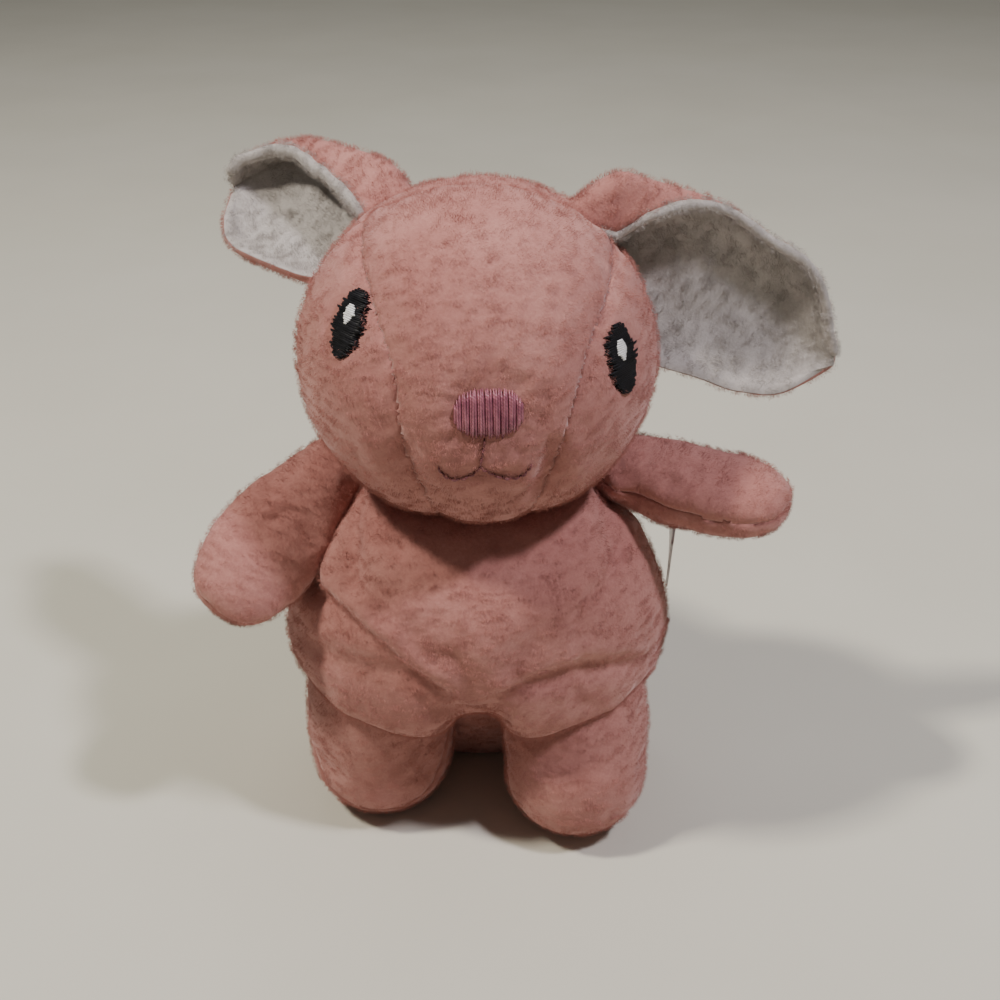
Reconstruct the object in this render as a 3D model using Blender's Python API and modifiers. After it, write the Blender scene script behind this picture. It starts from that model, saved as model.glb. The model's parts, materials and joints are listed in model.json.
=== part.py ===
"""A small plush rabbit: sewn fabric panels round soft fillings, standing on two stub feet and its seat.

World frame: +Z up, the rabbit faces -Y, its left side is at +X.  The sizes below are measured from the
point of the resting plane between the two hips, and at the end everything is moved so that the origin
is the middle of the flat seat.  All lengths are metres.
"""

import math

import bmesh
import bpy
from mathutils import Matrix, Vector

MM = 0.001

# ---------------------------------------------------------------- driving dimensions
FABRIC = 1.5 * MM               # pile fabric, backing and pile together
SEAM_GAP = 0.4 * MM             # open line between two sewn panels
FILL_GAP = 0.6 * MM             # between a panel's inside and the filling
MOVE_GAP = 0.9 * MM             # between two pieces that turn against each other

HEAD_CENTRE = Vector((0.7, 0.0, 102.8)) * MM
HEAD_RADII = Vector((32.0, 30.0, 30.5)) * MM
MUZZLE_BULGE = 1.0 * MM
MUZZLE_DROP = 0.05              # the bulge's middle lies this share of the radius below the centre
MUZZLE_FADE = 1.6
GUSSET_LEFT = 15.4 * MM         # front gusset's edges, at the height of the head's centre
GUSSET_RIGHT = -13.2 * MM
GUSSET_FLARE = 0.27             # how much it widens upwards
EAR_LINE_Y = 3.0 * MM           # the back panel starts behind this plane

NECK_HOLE_Z = 76.6 * MM         # the head's panels end here, open for the neck
COLLAR_Z = 76.0 * MM            # the body's panels end here
BODY_TOP = 79.0 * MM
# height, half width, front y, back y
BODY_STATIONS = (
    (0.0, 16.0, 9.0, 25.0),
    (5.0, 26.0, 7.5, 30.0),
    (14.0, 33.0, 3.0, 33.5),
    (25.0, 36.5, -6.0, 34.5),
    (34.0, 38.0, -17.0, 34.0),
    (45.0, 37.8, -25.5, 32.0),
    (58.0, 34.5, -24.5, 28.0),
    (68.0, 29.0, -19.5, 23.5),
    (76.0, 20.0, -13.0, 17.0),
    (79.0, 11.0, -6.5, 11.0),
)
BODY_CAP = 0.925                # beyond this share of the half height the body closes in to its two ends
BODY_OVERSHOOT = 0.54           # more than half, so that the lower end is pressed flat
SEAT_POINT = Vector((0.0, 17.0, 0.0)) * MM     # middle of the flat seat
BODY_SEAM = Vector((0.0, 4.0, 40.0)) * MM      # a point of the plane that holds the side seams
BODY_SEAM_TILT = 0.25           # the side seams run forward towards the crotch

NECK_PIVOT = Vector((0.7, 2.0, 84.0)) * MM
NECK_BALL = 8.0 * MM
NECK_STEM = 5.0 * MM
NECK_FOOT_Z = 66.0 * MM

PELLETS_CENTRE = Vector((0.0, 21.0, 14.0)) * MM
PELLETS_RADII = Vector((16.5, 8.5, 9.5)) * MM

ARM_ROOT = 6.6 * MM
ARM_LENGTH = 35.0 * MM
ARM_HALF_WIDTH = 12.8 * MM
ARM_HALF_DEPTH = 7.8 * MM
ARM_GROWTH = 1.25               # above 1, so that the arm is at its widest before its tip
ARM_BLUNTNESS = 3.0
SHOULDER = Vector((27.5, 8.0, 75.0)) * MM      # left; the right one mirrors it
ARM_LEFT_TURN = 27.0            # degrees forward of straight sideways
ARM_LEFT_DROOP = 1.0
ARM_RIGHT_TURN = 53.0
ARM_RIGHT_DROOP = 25.0
ARM_LEFT_ROLL = 0.0             # twist about the arm, positive brings its top panel to face forward
ARM_RIGHT_ROLL = 40.0

HIP = Vector((20.3, 0.0, 26.0)) * MM           # left; the right one mirrors it
LEG_RADIUS = 15.2 * MM
FOOT_Z = 14.2 * MM
FOOT_LEFT_Y = -8.0 * MM
FOOT_RIGHT_Y = -1.5 * MM
LEG_BLEND = 1.4                 # how quickly the hip's ball gives way to the foot's
LEG_SEAM_TILT = 0.55            # the side seams run forward under the sole

EAR_HALF_WIDTH = 15.8 * MM
EAR_ROOT_HALF_WIDTH = 12.5 * MM
EAR_WIDEST = 0.62               # share of the length where the ear is widest
EAR_TIP_ROUNDNESS = 2.2
EAR_UNCURL = 0.7                # below 1, so that the curl opens sooner near the root
EAR_LINING_TRIM = 0.96          # the lining stops a little short of the back's edge
EAR_FABRIC = 1.3 * MM
EAR_ROOT_CURL = 62.0            # half angle of the curled cross-section at the root, degrees
EAR_TIP_CURL = 20.0
EAR_CLEARANCE = 1.8 * MM        # between the ear's base and the head, room for it to flop
EAR_BASE_RELIEF = 3.0 * MM      # the base stands further off at its two edges
# each ear: a point inside the head on its middle line, its direction and the side it opens to
EAR_LEFT = (Vector((13.0, 6.0, 124.5)) * MM, Vector((0.89, 0.03, -0.42)), Vector((0.1, -1.0, 0.2)))
EAR_RIGHT = (Vector((-9.0, 4.0, 120.0)) * MM, Vector((-0.80, 0.52, 0.0)), Vector((-0.1, -0.5, 0.85)))
EAR_LEFT_REACH = 62.0 * MM      # from that point to the tip
EAR_RIGHT_REACH = 52.0 * MM

EYE_SIZE = (6.6 * MM, 11.6 * MM)
EYE_RIGHT = Vector((-20.8, -18.7, 13.4)) * MM  # from the head's centre
EYE_LEFT = Vector((23.9, -17.9, 6.8)) * MM
NOSE = Vector((2.2, -29.8, 2.4)) * MM
NOSE_SIZE = (11.0 * MM, 8.4 * MM)
MOUTH = Vector((1.2, -29.0, -6.0)) * MM
MOUTH_CURVE_MIDDLE = 3.9 * MM   # each curve of the mouth: its middle from the centre line
MOUTH_CURVE_REACH = 3.3 * MM    # and half its width
MOUTH_DEPTH = 2.3 * MM
MOUTH_SHIFT = 0.4 * MM          # the curves sit a little to the left of the drop under the nose
MOUTH_TOP = -1.6 * MM
MOUTH_THREAD = 0.35 * MM
GLINT_SIZE = (2.4 * MM, 4.2 * MM)
GLINT_RISE = 0.9 * MM           # the highlight sits above the eye's middle
GLINT_THREAD = 0.4 * MM
STITCH_LIFT = 0.3 * MM          # between the fabric and the embroidery on it
THREAD = 0.8 * MM

TAIL_CENTRE = Vector((0.0, 38.2, 22.0)) * MM
TAIL_RADIUS = 7.5 * MM
LABEL_ROOT = Vector((38.4, 6.5, 53.0)) * MM
LABEL_WIDTH = 13.0 * MM
LABEL_LENGTH = 22.0 * MM
LABEL_LEAN = 15.0               # degrees above level that the label stands, towards the back
LABEL_THICKNESS = 0.35 * MM

PINK = (0.60, 0.27, 0.25)
CREAM = (0.80, 0.76, 0.70)
WHITE = (0.86, 0.86, 0.85)
BLACK = (0.012, 0.012, 0.014)
ROSE = (0.30, 0.10, 0.13)
BROWN_ROSE = (0.24, 0.09, 0.09)
FIBRE = (0.82, 0.82, 0.80)
PELLET = (0.70, 0.70, 0.68)

# swing of each joint in degrees, also the sweep that its socket leaves room for
HEAD_TURN = (-35.0, 35.0)
HEAD_NOD = (-10.0, 10.0)
ARM_LEFT_SWING = (-45.0, 30.0)
ARM_RIGHT_SWING = (-70.0, 10.0)
LEG_SWING = (-8.0, 35.0)


# ---------------------------------------------------------------- scene helpers
def clear_scene():
    for scene_object in list(bpy.context.scene.objects):
        bpy.data.objects.remove(scene_object, do_unlink=True)


def new_collection(name):
    collection = bpy.data.collections.new(name)
    bpy.context.scene.collection.children.link(collection)
    return collection


def material(name, colour, roughness, metallic=0.0):
    made = bpy.data.materials.new(name)
    made.use_nodes = True
    shader = made.node_tree.nodes["Principled BSDF"]
    shader.inputs["Base Color"].default_value = (*colour, 1.0)
    shader.inputs["Roughness"].default_value = roughness
    shader.inputs["Metallic"].default_value = metallic
    return made


def add_object(name, mesh, collection, finish=None, parent=None):
    """Link a mesh made in world coordinates, keeping its place under a parent empty."""
    made = bpy.data.objects.new(name, mesh)
    collection.objects.link(made)
    if finish is not None:
        mesh.materials.append(finish)
    if parent is not None:
        made.parent = parent
        made.matrix_parent_inverse = Matrix.Translation(-parent.location)
    mesh.shade_smooth()
    return made


def add_pivot(name, place, collection, parent=None):
    pivot = bpy.data.objects.new(name, None)
    pivot.empty_display_size = 5 * MM
    collection.objects.link(pivot)
    pivot.location = place
    if parent is not None:
        pivot.parent = parent
        pivot.matrix_parent_inverse = Matrix.Translation(-parent.location)
    return pivot


def thicken(piece, thickness):
    """Give an open panel its fabric thickness, inwards from its outer face."""
    solid = piece.modifiers.new("fabric", "SOLIDIFY")
    solid.thickness = thickness
    solid.offset = -1.0


def cut(piece, cutter, operation="DIFFERENCE"):
    boolean = piece.modifiers.new(operation.lower(), "BOOLEAN")
    boolean.operation = operation
    boolean.solver = "EXACT"
    boolean.object = cutter


# ---------------------------------------------------------------- shapes
def unit_sphere(segments, rings, pole="Z"):
    made = bmesh.new()
    bmesh.ops.create_uvsphere(made, u_segments=segments, v_segments=rings, radius=1.0)
    if pole == "Y":
        bmesh.ops.rotate(made, verts=made.verts, matrix=Matrix.Rotation(math.radians(90), 3, "X"))
    return made


def hide_cutter(cutter):
    cutter.hide_render = True
    cutter.display_type = "WIRE"
    return cutter


def block_between(name, planes, collection):
    """A large block trimmed by planes; each is a point and the normal of the side that goes."""
    block = bmesh.new()
    bmesh.ops.create_cube(block, size=0.4)
    for point, normal in planes:
        everything = block.verts[:] + block.edges[:] + block.faces[:]
        trimmed = bmesh.ops.bisect_plane(block, geom=everything, dist=1e-6, plane_co=point,
                                         plane_no=normal, clear_outer=True)
        rim = [item for item in trimmed["geom_cut"] if isinstance(item, bmesh.types.BMEdge)]
        bmesh.ops.contextual_create(block, geom=rim)
    bmesh.ops.recalc_face_normals(block, faces=block.faces)
    mesh = bpy.data.meshes.new(name)
    block.to_mesh(mesh)
    block.free()
    return hide_cutter(add_object(name, mesh, collection))


def shaped_mesh(name, source, shape, inset=0.0):
    """Move every point of a unit sphere to its place on the real surface, less an inset."""
    for vertex in source.verts:
        vertex.co = shape(vertex.co)
    source.normal_update()
    moved = [vertex.co - vertex.normal * inset for vertex in source.verts]
    for vertex, place in zip(source.verts, moved):
        vertex.co = place
    mesh = bpy.data.meshes.new(name)
    source.to_mesh(mesh)
    source.free()
    return mesh


def smooth_share(stations, height, column):
    """A station value at any height, eased between stations by a Catmull-Rom curve."""
    last = len(stations) - 1
    for index in range(last):
        low, high = stations[index], stations[index + 1]
        if height <= high[0] or index == last - 1:
            break
    share = min(1.0, max(0.0, (height - low[0]) / (high[0] - low[0])))
    before = stations[max(index - 1, 0)][column]
    after = stations[min(index + 2, last)][column]
    p1, p2 = low[column], high[column]
    bend = (2 * before - 5 * p1 + 4 * p2 - after) * share ** 2
    bend += (3 * p1 - before - 3 * p2 + after) * share ** 3
    return 0.5 * (2 * p1 + (p2 - before) * share + bend)


def body_point(unit):
    """Body surface: stacked ovals, flat underneath where it sits."""
    height = BODY_TOP / MM * (0.5 + BODY_OVERSHOOT * unit.z)
    height = min(max(height, 0.0), BODY_TOP / MM)
    around = Vector((unit.x, unit.y))
    reach = around.length
    ring = math.sqrt(max(0.0, 1.0 - unit.z ** 2))
    direction = around / reach if reach > 1e-6 else around
    fullness = 1.0
    if abs(unit.z) > BODY_CAP:
        fullness = ring / math.sqrt(1 - BODY_CAP ** 2)
    half_width = smooth_share(BODY_STATIONS, height, 1)
    front = smooth_share(BODY_STATIONS, height, 2)
    back = smooth_share(BODY_STATIONS, height, 3)
    x = direction.x * half_width * fullness
    y = (front + back) / 2 + direction.y * (back - front) / 2 * fullness
    return Vector((x, y, height)) * MM


def head_point(unit):
    """Head surface: nearly a ball, a little fuller at the muzzle and cheeks."""
    muzzle = max(0.0, -unit.y) ** 3 * max(0.0, 1.0 - abs(unit.z + MUZZLE_DROP) * MUZZLE_FADE)
    place = Vector((unit.x * HEAD_RADII.x, unit.y * HEAD_RADII.y, unit.z * HEAD_RADII.z))
    place.y -= MUZZLE_BULGE * muzzle
    return HEAD_CENTRE + place


def tapered_limb(root, length, half_width, half_depth, blunt):
    """A ball round the origin that grows along +Z into a rounded oval paddle."""
    def shape(unit):
        if unit.z <= 0.0:
            return unit * root
        ring = math.sqrt(max(1e-12, 1.0 - unit.z ** 2))
        rounding = (1.0 - unit.z ** blunt) ** (1.0 / blunt)
        grow = math.sin(min(1.0, unit.z * ARM_GROWTH) * math.pi / 2)
        wide = root + (half_width - root) * grow
        deep = root + (half_depth - root) * grow
        scale = rounding / ring
        return Vector((unit.x * scale * wide, unit.y * scale * deep, unit.z * length))
    return shape


def placed(shape, frame):
    def moved(unit):
        return frame @ shape(unit)
    return moved


def grounded(shape):
    """Press the shape flat where it meets the resting plane."""
    def pressed(unit):
        place = shape(unit)
        place.z = max(place.z, 0.0)
        return place
    return pressed


def sample_points(shape, margin, segments=16, rings=10):
    ball = unit_sphere(segments, rings)
    for vertex in ball.verts:
        vertex.co = shape(vertex.co)
    ball.normal_update()
    points = [vertex.co + vertex.normal * margin for vertex in ball.verts]
    ball.free()
    return points


def sweep_cutter(name, points, pivot, axis, swing, collection, steps=4):
    """The convex room that a set of points needs while it turns about an axis."""
    hull = bmesh.new()
    for step in range(steps + 1):
        angle = math.radians(swing[0] + (swing[1] - swing[0]) * step / steps)
        turn = Matrix.Rotation(angle, 3, axis)
        for point in points:
            hull.verts.new(pivot + turn @ (point - pivot))
    made = bmesh.ops.convex_hull(hull, input=hull.verts)
    spare = {item for item in made["geom_interior"] + made["geom_unused"]
             if isinstance(item, bmesh.types.BMVert) and item.is_valid}
    bmesh.ops.delete(hull, geom=list(spare), context="VERTS")
    bmesh.ops.remove_doubles(hull, verts=hull.verts, dist=0.8 * MM)
    bmesh.ops.recalc_face_normals(hull, faces=hull.faces)
    mesh = bpy.data.meshes.new(name)
    hull.to_mesh(mesh)
    hull.free()
    return hide_cutter(add_object(name, mesh, collection))


# ---------------------------------------------------------------- limbs, frames and pivots
def limb_frame(pivot, direction, across):
    """Local +Z along the limb, local +X across its wide side."""
    along = direction.normalized()
    side = (across - along * across.dot(along)).normalized()
    depth = along.cross(side)
    turn = Matrix((side, depth, along)).transposed()
    return Matrix.Translation(pivot) @ turn.to_4x4()


def arm_frame(side, turn, droop, roll):
    """side is +1 for the left arm and -1 for the right one; the angles are in degrees."""
    pivot = Vector((SHOULDER.x * side, SHOULDER.y, SHOULDER.z))
    forward = math.radians(turn)
    down = math.radians(droop)
    direction = Vector((math.cos(down) * math.cos(forward) * side,
                        -math.cos(down) * math.sin(forward), -math.sin(down)))
    across = Vector((math.sin(forward) * side, math.cos(forward), 0.0)) * side
    frame = limb_frame(pivot, direction, across)
    return pivot, frame @ Matrix.Rotation(math.radians(roll) * side, 4, "Z")


def leg_shape(side, foot_y):
    """A short thick stub from a ball at the hip to a ball pressed on the ground."""
    pivot = Vector((HIP.x * side, HIP.y, HIP.z))
    foot = Vector((HIP.x * side, foot_y, FOOT_Z))

    def shape(unit):
        along = (foot - pivot).normalized()
        blend = min(1.0, max(0.0, 0.5 + LEG_BLEND * unit.dot(along)))
        blend = blend * blend * (3 - 2 * blend)
        return pivot.lerp(foot, blend) + unit * LEG_RADIUS
    return pivot, shape


def ear_frame(root, direction, opening):
    """Local +X across the ear, local +Y towards its open front, local +Z along it."""
    along = direction.normalized()
    face = (opening - along * opening.dot(along)).normalized()
    across = face.cross(along)
    turn = Matrix((across, face, along)).transposed()
    return Matrix.Translation(root) @ turn.to_4x4()


def ear_half_width(share):
    """Arc half width along the ear, from the pinched root to the round tip."""
    swell = math.sin(math.pi / 2 * min(1.0, share / EAR_WIDEST))
    width = EAR_ROOT_HALF_WIDTH + (EAR_HALF_WIDTH - EAR_ROOT_HALF_WIDTH) * swell
    if share > EAR_WIDEST:
        past = (share - EAR_WIDEST) / (1.0 - EAR_WIDEST)
        width *= math.sqrt(max(0.0, 1.0 - past ** EAR_TIP_ROUNDNESS))
    return width


def ear_curl(share, across, lift):
    """The curled cross-section: across runs -1 to 1, lift is the depth inside the outer face."""
    width = ear_half_width(share)
    curl = math.radians(EAR_ROOT_CURL + (EAR_TIP_CURL - EAR_ROOT_CURL) * share ** EAR_UNCURL)
    radius = max(width, 0.2 * MM) / curl
    angle = across * curl
    inside = radius - lift
    return inside * math.sin(angle), radius - inside * math.cos(angle)


def head_exit(start, direction, clearance):
    """How far along a line the head's surface, grown by a clearance, is left behind."""
    radii = HEAD_RADII + Vector((clearance, clearance, clearance))
    origin = Vector([a / b for a, b in zip(start - HEAD_CENTRE, radii)])
    step = Vector([a / b for a, b in zip(direction, radii)])
    half = origin.dot(step)
    room = half * half - step.dot(step) * (origin.dot(origin) - 1.0)
    if room <= 0.0:
        return 0.0
    return max(0.0, (math.sqrt(room) - half) / step.dot(step))


# ---------------------------------------------------------------- sub-parts
def panel(name, surface, planes, finish, parts, cutters, parent):
    """The part of a hollow fabric shell that lies between some planes."""
    piece = add_object(name, surface.copy(), parts, finish, parent)
    thicken(piece, FABRIC)
    cut(piece, block_between(name + "_block", planes, cutters), "INTERSECT")
    return piece


def surface_mesh(name, shape, segments, rings, pole="Z", inset=0.0):
    return shaped_mesh(name, unit_sphere(segments, rings, pole), shape, inset)


def both_sides(point, normal):
    """The two planes of a seam: the first keeps the side behind the normal."""
    normal = normal.normalized()
    step = normal * SEAM_GAP / 2
    return (point - step, normal), (point + step, -normal)


def build_head(parts, cutters, finishes, head):
    """A front gusset between two cheeks, and a back panel, all open at the neck."""
    surface = surface_mesh("head_surface", head_point, 24, 14, "Y")
    neck = (Vector((0, 0, NECK_HOLE_Z)), Vector((0, 0, -1)))
    front, back = both_sides(Vector((0, EAR_LINE_Y, 0)), Vector((0, 1, 0)))
    left_in, left_out = both_sides(HEAD_CENTRE + Vector((GUSSET_LEFT, 0, 0)),
                                   Vector((1, 0, -GUSSET_FLARE)))
    right_in, right_out = both_sides(HEAD_CENTRE + Vector((GUSSET_RIGHT, 0, 0)),
                                     Vector((-1, 0, -GUSSET_FLARE)))
    plans = (
        ("head_front_gusset", (neck, front, left_in, right_in)),
        ("head_side_left", (neck, front, left_out)),
        ("head_side_right", (neck, front, right_out)),
        ("head_back_panel", (neck, back)),
    )
    for name, planes in plans:
        panel(name, surface, planes, finishes["plush"], parts, cutters, head)
    core = surface_mesh("head_stuffing", head_point, 24, 14, "Y", FABRIC + FILL_GAP)
    return add_object("head_stuffing", core, parts, finishes["fibre"], head)


def build_body(parts, cutters, finishes):
    surface = surface_mesh("body_surface", body_point, 28, 17)
    collar = (Vector((0, 0, COLLAR_Z)), Vector((0, 0, 1)))
    front, back = both_sides(BODY_SEAM, Vector((0, 1, -BODY_SEAM_TILT)))
    front_piece = panel("body_front_panel", surface, (collar, front), finishes["plush"],
                        parts, cutters, None)
    back_piece = panel("body_back_panel", surface, (collar, back), finishes["plush"],
                       parts, cutters, None)
    core = surface_mesh("body_stuffing", body_point, 28, 17, "Z", FABRIC + FILL_GAP)
    return front_piece, back_piece, add_object("body_stuffing", core, parts, finishes["fibre"])


def build_pellets(parts, cutters, finishes):
    """The pellet pouch, and the hollow it is pushed into from underneath."""
    def pouch(unit):
        return PELLETS_CENTRE + Vector([u * r for u, r in zip(unit, PELLETS_RADII)])
    add_object("pellet_pouch", surface_mesh("pellet_pouch", pouch, 16, 10), parts, finishes["pellet"])
    room = sample_points(pouch, FILL_GAP, 16, 10)
    room += [point - Vector((0, 0, PELLETS_CENTRE.z)) for point in room]
    return sweep_cutter("pouch_room", room, PELLETS_CENTRE, "Z", (0.0, 0.0), cutters, 1)


def build_neck(parts, cutters, finishes, neck):
    """A ball inside the head on a stem that turns inside the top of the body."""
    steps = 10
    start = math.asin(NECK_STEM / NECK_BALL)
    profile = [(0.0, NECK_BALL)]
    for index in range(1, steps + 1):
        angle = (math.pi - start) * index / steps
        profile.append((NECK_BALL * math.sin(angle), NECK_BALL * math.cos(angle)))
    foot = NECK_FOOT_Z - NECK_PIVOT.z
    profile += [(NECK_STEM, foot), (0.0, foot)]
    outline = bmesh.new()
    points = [outline.verts.new((x, 0.0, z)) for x, z in profile]
    for first, second in zip(points, points[1:]):
        outline.edges.new((first, second))
    bmesh.ops.spin(outline, geom=outline.verts[:] + outline.edges[:], axis=(0, 0, 1), cent=(0, 0, 0),
                   angle=2 * math.pi, steps=20, use_merge=True)
    bmesh.ops.remove_doubles(outline, verts=outline.verts, dist=1e-6)
    bmesh.ops.recalc_face_normals(outline, faces=outline.faces)
    bmesh.ops.translate(outline, verts=outline.verts, vec=NECK_PIVOT)
    outline.normal_update()
    room = [vertex.co + vertex.normal * MOVE_GAP for vertex in outline.verts]
    mesh = bpy.data.meshes.new("neck_stuffing")
    outline.to_mesh(mesh)
    outline.free()
    add_object("neck_stuffing", mesh, parts, finishes["fibre"], neck)
    head_room = sweep_cutter("neck_room_head", room, NECK_PIVOT, "X",
                             (HEAD_NOD[0] - 2, HEAD_NOD[1] + 2), cutters)
    body_room = sweep_cutter("neck_room_body", room, NECK_PIVOT, "Z", (0.0, 9.0), cutters, 1)
    return head_room, body_room


def build_ear(name, plan, reach, parts, finishes, head):
    """A back and a lining, curled together, whose base follows the head's surface."""
    root, direction, opening = plan
    frame = ear_frame(root, direction, opening)
    along = direction.normalized()
    base = root + along * head_exit(root, along, EAR_CLEARANCE)
    pivot = add_pivot(name + "_root", base, parts, head)
    layers = (("back", 0.0, 1.0, finishes["plush"]),
              ("lining", EAR_FABRIC + FILL_GAP, EAR_LINING_TRIM, finishes["lining"]))
    for layer, lift, trim, finish in layers:
        sheet = bmesh.new()
        bmesh.ops.create_grid(sheet, x_segments=8, y_segments=10, size=1.0)
        for vertex in sheet.verts:
            share = (vertex.co.y + 1) / 2
            across = vertex.co.x * trim
            start_x, start_y = ear_curl(0.0, across, lift)
            start = head_exit(frame @ Vector((start_x, start_y, 0.0)), along, EAR_CLEARANCE)
            start += EAR_BASE_RELIEF * across ** 2
            end = reach * (trim + 1) / 2
            x, y = ear_curl(share, across, lift)
            vertex.co = frame @ Vector((x, y, start + (end - start) * share))
        bmesh.ops.remove_doubles(sheet, verts=sheet.verts, dist=0.3 * MM)
        bmesh.ops.reverse_faces(sheet, faces=sheet.faces)
        mesh = bpy.data.meshes.new(name + "_" + layer)
        sheet.to_mesh(mesh)
        sheet.free()
        thicken(add_object(name + "_" + layer, mesh, parts, finish, pivot), EAR_FABRIC)


def stitched_patch(name, centre, size, outline, finish, parts, head, lift, thickness):
    """A thin raised field of embroidery that lies on the head; outline maps an angle to a radius."""
    outward = centre.normalized()
    up = Vector((0, 0, 1))
    across = up.cross(outward).normalized() * -1
    up = outward.cross(across).normalized() * -1
    patch = bmesh.new()
    bmesh.ops.create_circle(patch, cap_ends=True, cap_tris=True, radius=1.0, segments=18)
    bmesh.ops.subdivide_edges(patch, edges=[edge for edge in patch.edges if not edge.is_boundary],
                              cuts=1, use_grid_fill=False)
    for vertex in patch.verts:
        flat = Vector((vertex.co.x, vertex.co.y))
        angle = math.atan2(flat.y, flat.x)
        flat *= outline(angle)
        ray = centre + across * flat.x * size[0] / 2 + up * flat.y * size[1] / 2
        unit = Vector([a / b for a, b in zip(ray, HEAD_RADII)]).normalized()
        surface = head_point(unit)
        vertex.co = surface + (surface - HEAD_CENTRE).normalized() * lift
    bmesh.ops.triangulate(patch, faces=patch.faces)
    mesh = bpy.data.meshes.new(name)
    patch.to_mesh(mesh)
    patch.free()
    piece = add_object(name, mesh, parts, finish, head)
    for face in piece.data.polygons:
        if face.normal.dot(outward) < 0:
            piece.data.flip_normals()
            break
    solid = piece.modifiers.new("thread", "SOLIDIFY")
    solid.thickness = thickness
    solid.offset = 1.0
    return piece


def oval(angle):
    return 1.0


def nose_outline(angle):
    """Square-shouldered oval."""
    return 1.0 / (abs(math.cos(angle)) ** 3 + abs(math.sin(angle)) ** 3) ** (1 / 3)


def build_mouth(parts, finishes, head):
    """Three stitched strokes: a short drop from the nose and a curve to each side."""
    strokes = [[(0.6 * MM, 1.8 * MM), (0.0, -0.6 * MM)]]
    for side in (-1, 1):
        arc = []
        for index in range(6):
            angle = math.pi * index / 5
            outward = MOUTH_CURVE_MIDDLE - MOUTH_CURVE_REACH * math.cos(angle)
            arc.append((side * outward + MOUTH_SHIFT, MOUTH_TOP - MOUTH_DEPTH * math.sin(angle)))
        strokes.append(arc)
    names = ("mouth_stroke_centre", "mouth_stroke_right", "mouth_stroke_left")
    for name, stroke in zip(names, strokes):
        curve = bpy.data.curves.new(name, "CURVE")
        curve.dimensions = "3D"
        curve.bevel_depth = MOUTH_THREAD
        curve.bevel_resolution = 1
        curve.use_fill_caps = True
        spline = curve.splines.new("POLY")
        spline.points.add(len(stroke) - 1)
        for point, (x, z) in zip(spline.points, stroke):
            ray = MOUTH + Vector((x, 0.0, z))
            unit = Vector([a / b for a, b in zip(ray, HEAD_RADII)]).normalized()
            surface = head_point(unit)
            lifted = surface + (surface - HEAD_CENTRE).normalized() * (STITCH_LIFT + 0.45 * MM)
            point.co = (*lifted, 1.0)
        piece = bpy.data.objects.new(name, curve)
        parts.objects.link(piece)
        curve.materials.append(finishes["mouth"])
        piece.parent = head
        piece.matrix_parent_inverse = Matrix.Translation(-head.location)


def build_face(parts, finishes, head):
    for side, centre, shift in (("right", EYE_RIGHT, 0.2), ("left", EYE_LEFT, -0.9)):
        stitched_patch("eye_" + side, centre, EYE_SIZE, oval, finishes["eye"], parts, head,
                       STITCH_LIFT, THREAD)
        glint = centre + Vector((shift * MM, 0.0, GLINT_RISE))
        stitched_patch("eye_" + side + "_glint", glint, GLINT_SIZE, oval, finishes["glint"], parts,
                       head, STITCH_LIFT + THREAD + STITCH_LIFT, GLINT_THREAD)
    stitched_patch("nose_embroidery", NOSE, NOSE_SIZE, nose_outline, finishes["nose"], parts, head,
                   STITCH_LIFT, THREAD)
    build_mouth(parts, finishes, head)


def build_limb(name, sides, shape, seam, pivot, parts, cutters, finishes, detail):
    """Two sewn panels and their filling, hung on an empty at the joint."""
    empty = add_pivot(name + "_pivot", pivot, parts)
    surface = surface_mesh(name + "_surface", shape, *detail)
    for label, plane in zip(sides, both_sides(*seam)):
        panel(name + "_" + label, surface, (plane,), finishes["plush"], parts, cutters, empty)
    core = surface_mesh(name + "_stuffing", shape, *detail, "Z", FABRIC + FILL_GAP)
    add_object(name + "_stuffing", core, parts, finishes["fibre"], empty)


def build_arms(parts, cutters, finishes):
    rooms = []
    arm = tapered_limb(ARM_ROOT, ARM_LENGTH, ARM_HALF_WIDTH, ARM_HALF_DEPTH, ARM_BLUNTNESS)
    plans = (("arm_left", 1, (ARM_LEFT_TURN, ARM_LEFT_DROOP, ARM_LEFT_ROLL), ARM_LEFT_SWING),
             ("arm_right", -1, (ARM_RIGHT_TURN, ARM_RIGHT_DROOP, ARM_RIGHT_ROLL), ARM_RIGHT_SWING))
    for name, side, angles, swing in plans:
        pivot, frame = arm_frame(side, *angles)
        shape = placed(arm, frame)
        upwards = frame.to_3x3().col[1] * (1 if frame.to_3x3().col[1].z > 0 else -1)
        build_limb(name, ("lower_panel", "upper_panel"), shape, (pivot, upwards), pivot, parts,
                   cutters, finishes, (16, 11))
        sweep = tuple(angle * -side for angle in swing)
        rooms.append(sweep_cutter(name + "_room", sample_points(shape, MOVE_GAP, 12, 8), pivot, "Z",
                                  sweep, cutters, 5))
    return rooms


def build_legs(parts, cutters, finishes):
    rooms = []
    for name, side, foot_y in (("leg_left", 1, FOOT_LEFT_Y), ("leg_right", -1, FOOT_RIGHT_Y)):
        pivot, shape = leg_shape(side, foot_y)
        seam = (Vector((0, (pivot.y + foot_y) / 2, HIP.z)), Vector((0, 1, -LEG_SEAM_TILT)))
        build_limb(name, ("front_panel", "back_panel"), grounded(shape), seam, pivot, parts,
                   cutters, finishes, (18, 12))
        rooms.append(sweep_cutter(name + "_room", sample_points(shape, MOVE_GAP, 14, 9), pivot,
                                  "X", (-LEG_SWING[1], -LEG_SWING[0]), cutters, 4))
    return rooms


def build_tail(parts, cutters, finishes):
    def tuft(unit):
        return TAIL_CENTRE + unit * TAIL_RADIUS
    add_object("tail", surface_mesh("tail", tuft, 16, 10, "Y"), parts, finishes["lining"])
    return sweep_cutter("tail_room", sample_points(tuft, 0.3 * MM), TAIL_CENTRE, "Z",
                        (0.0, 0.0), cutters, 1)


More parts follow.
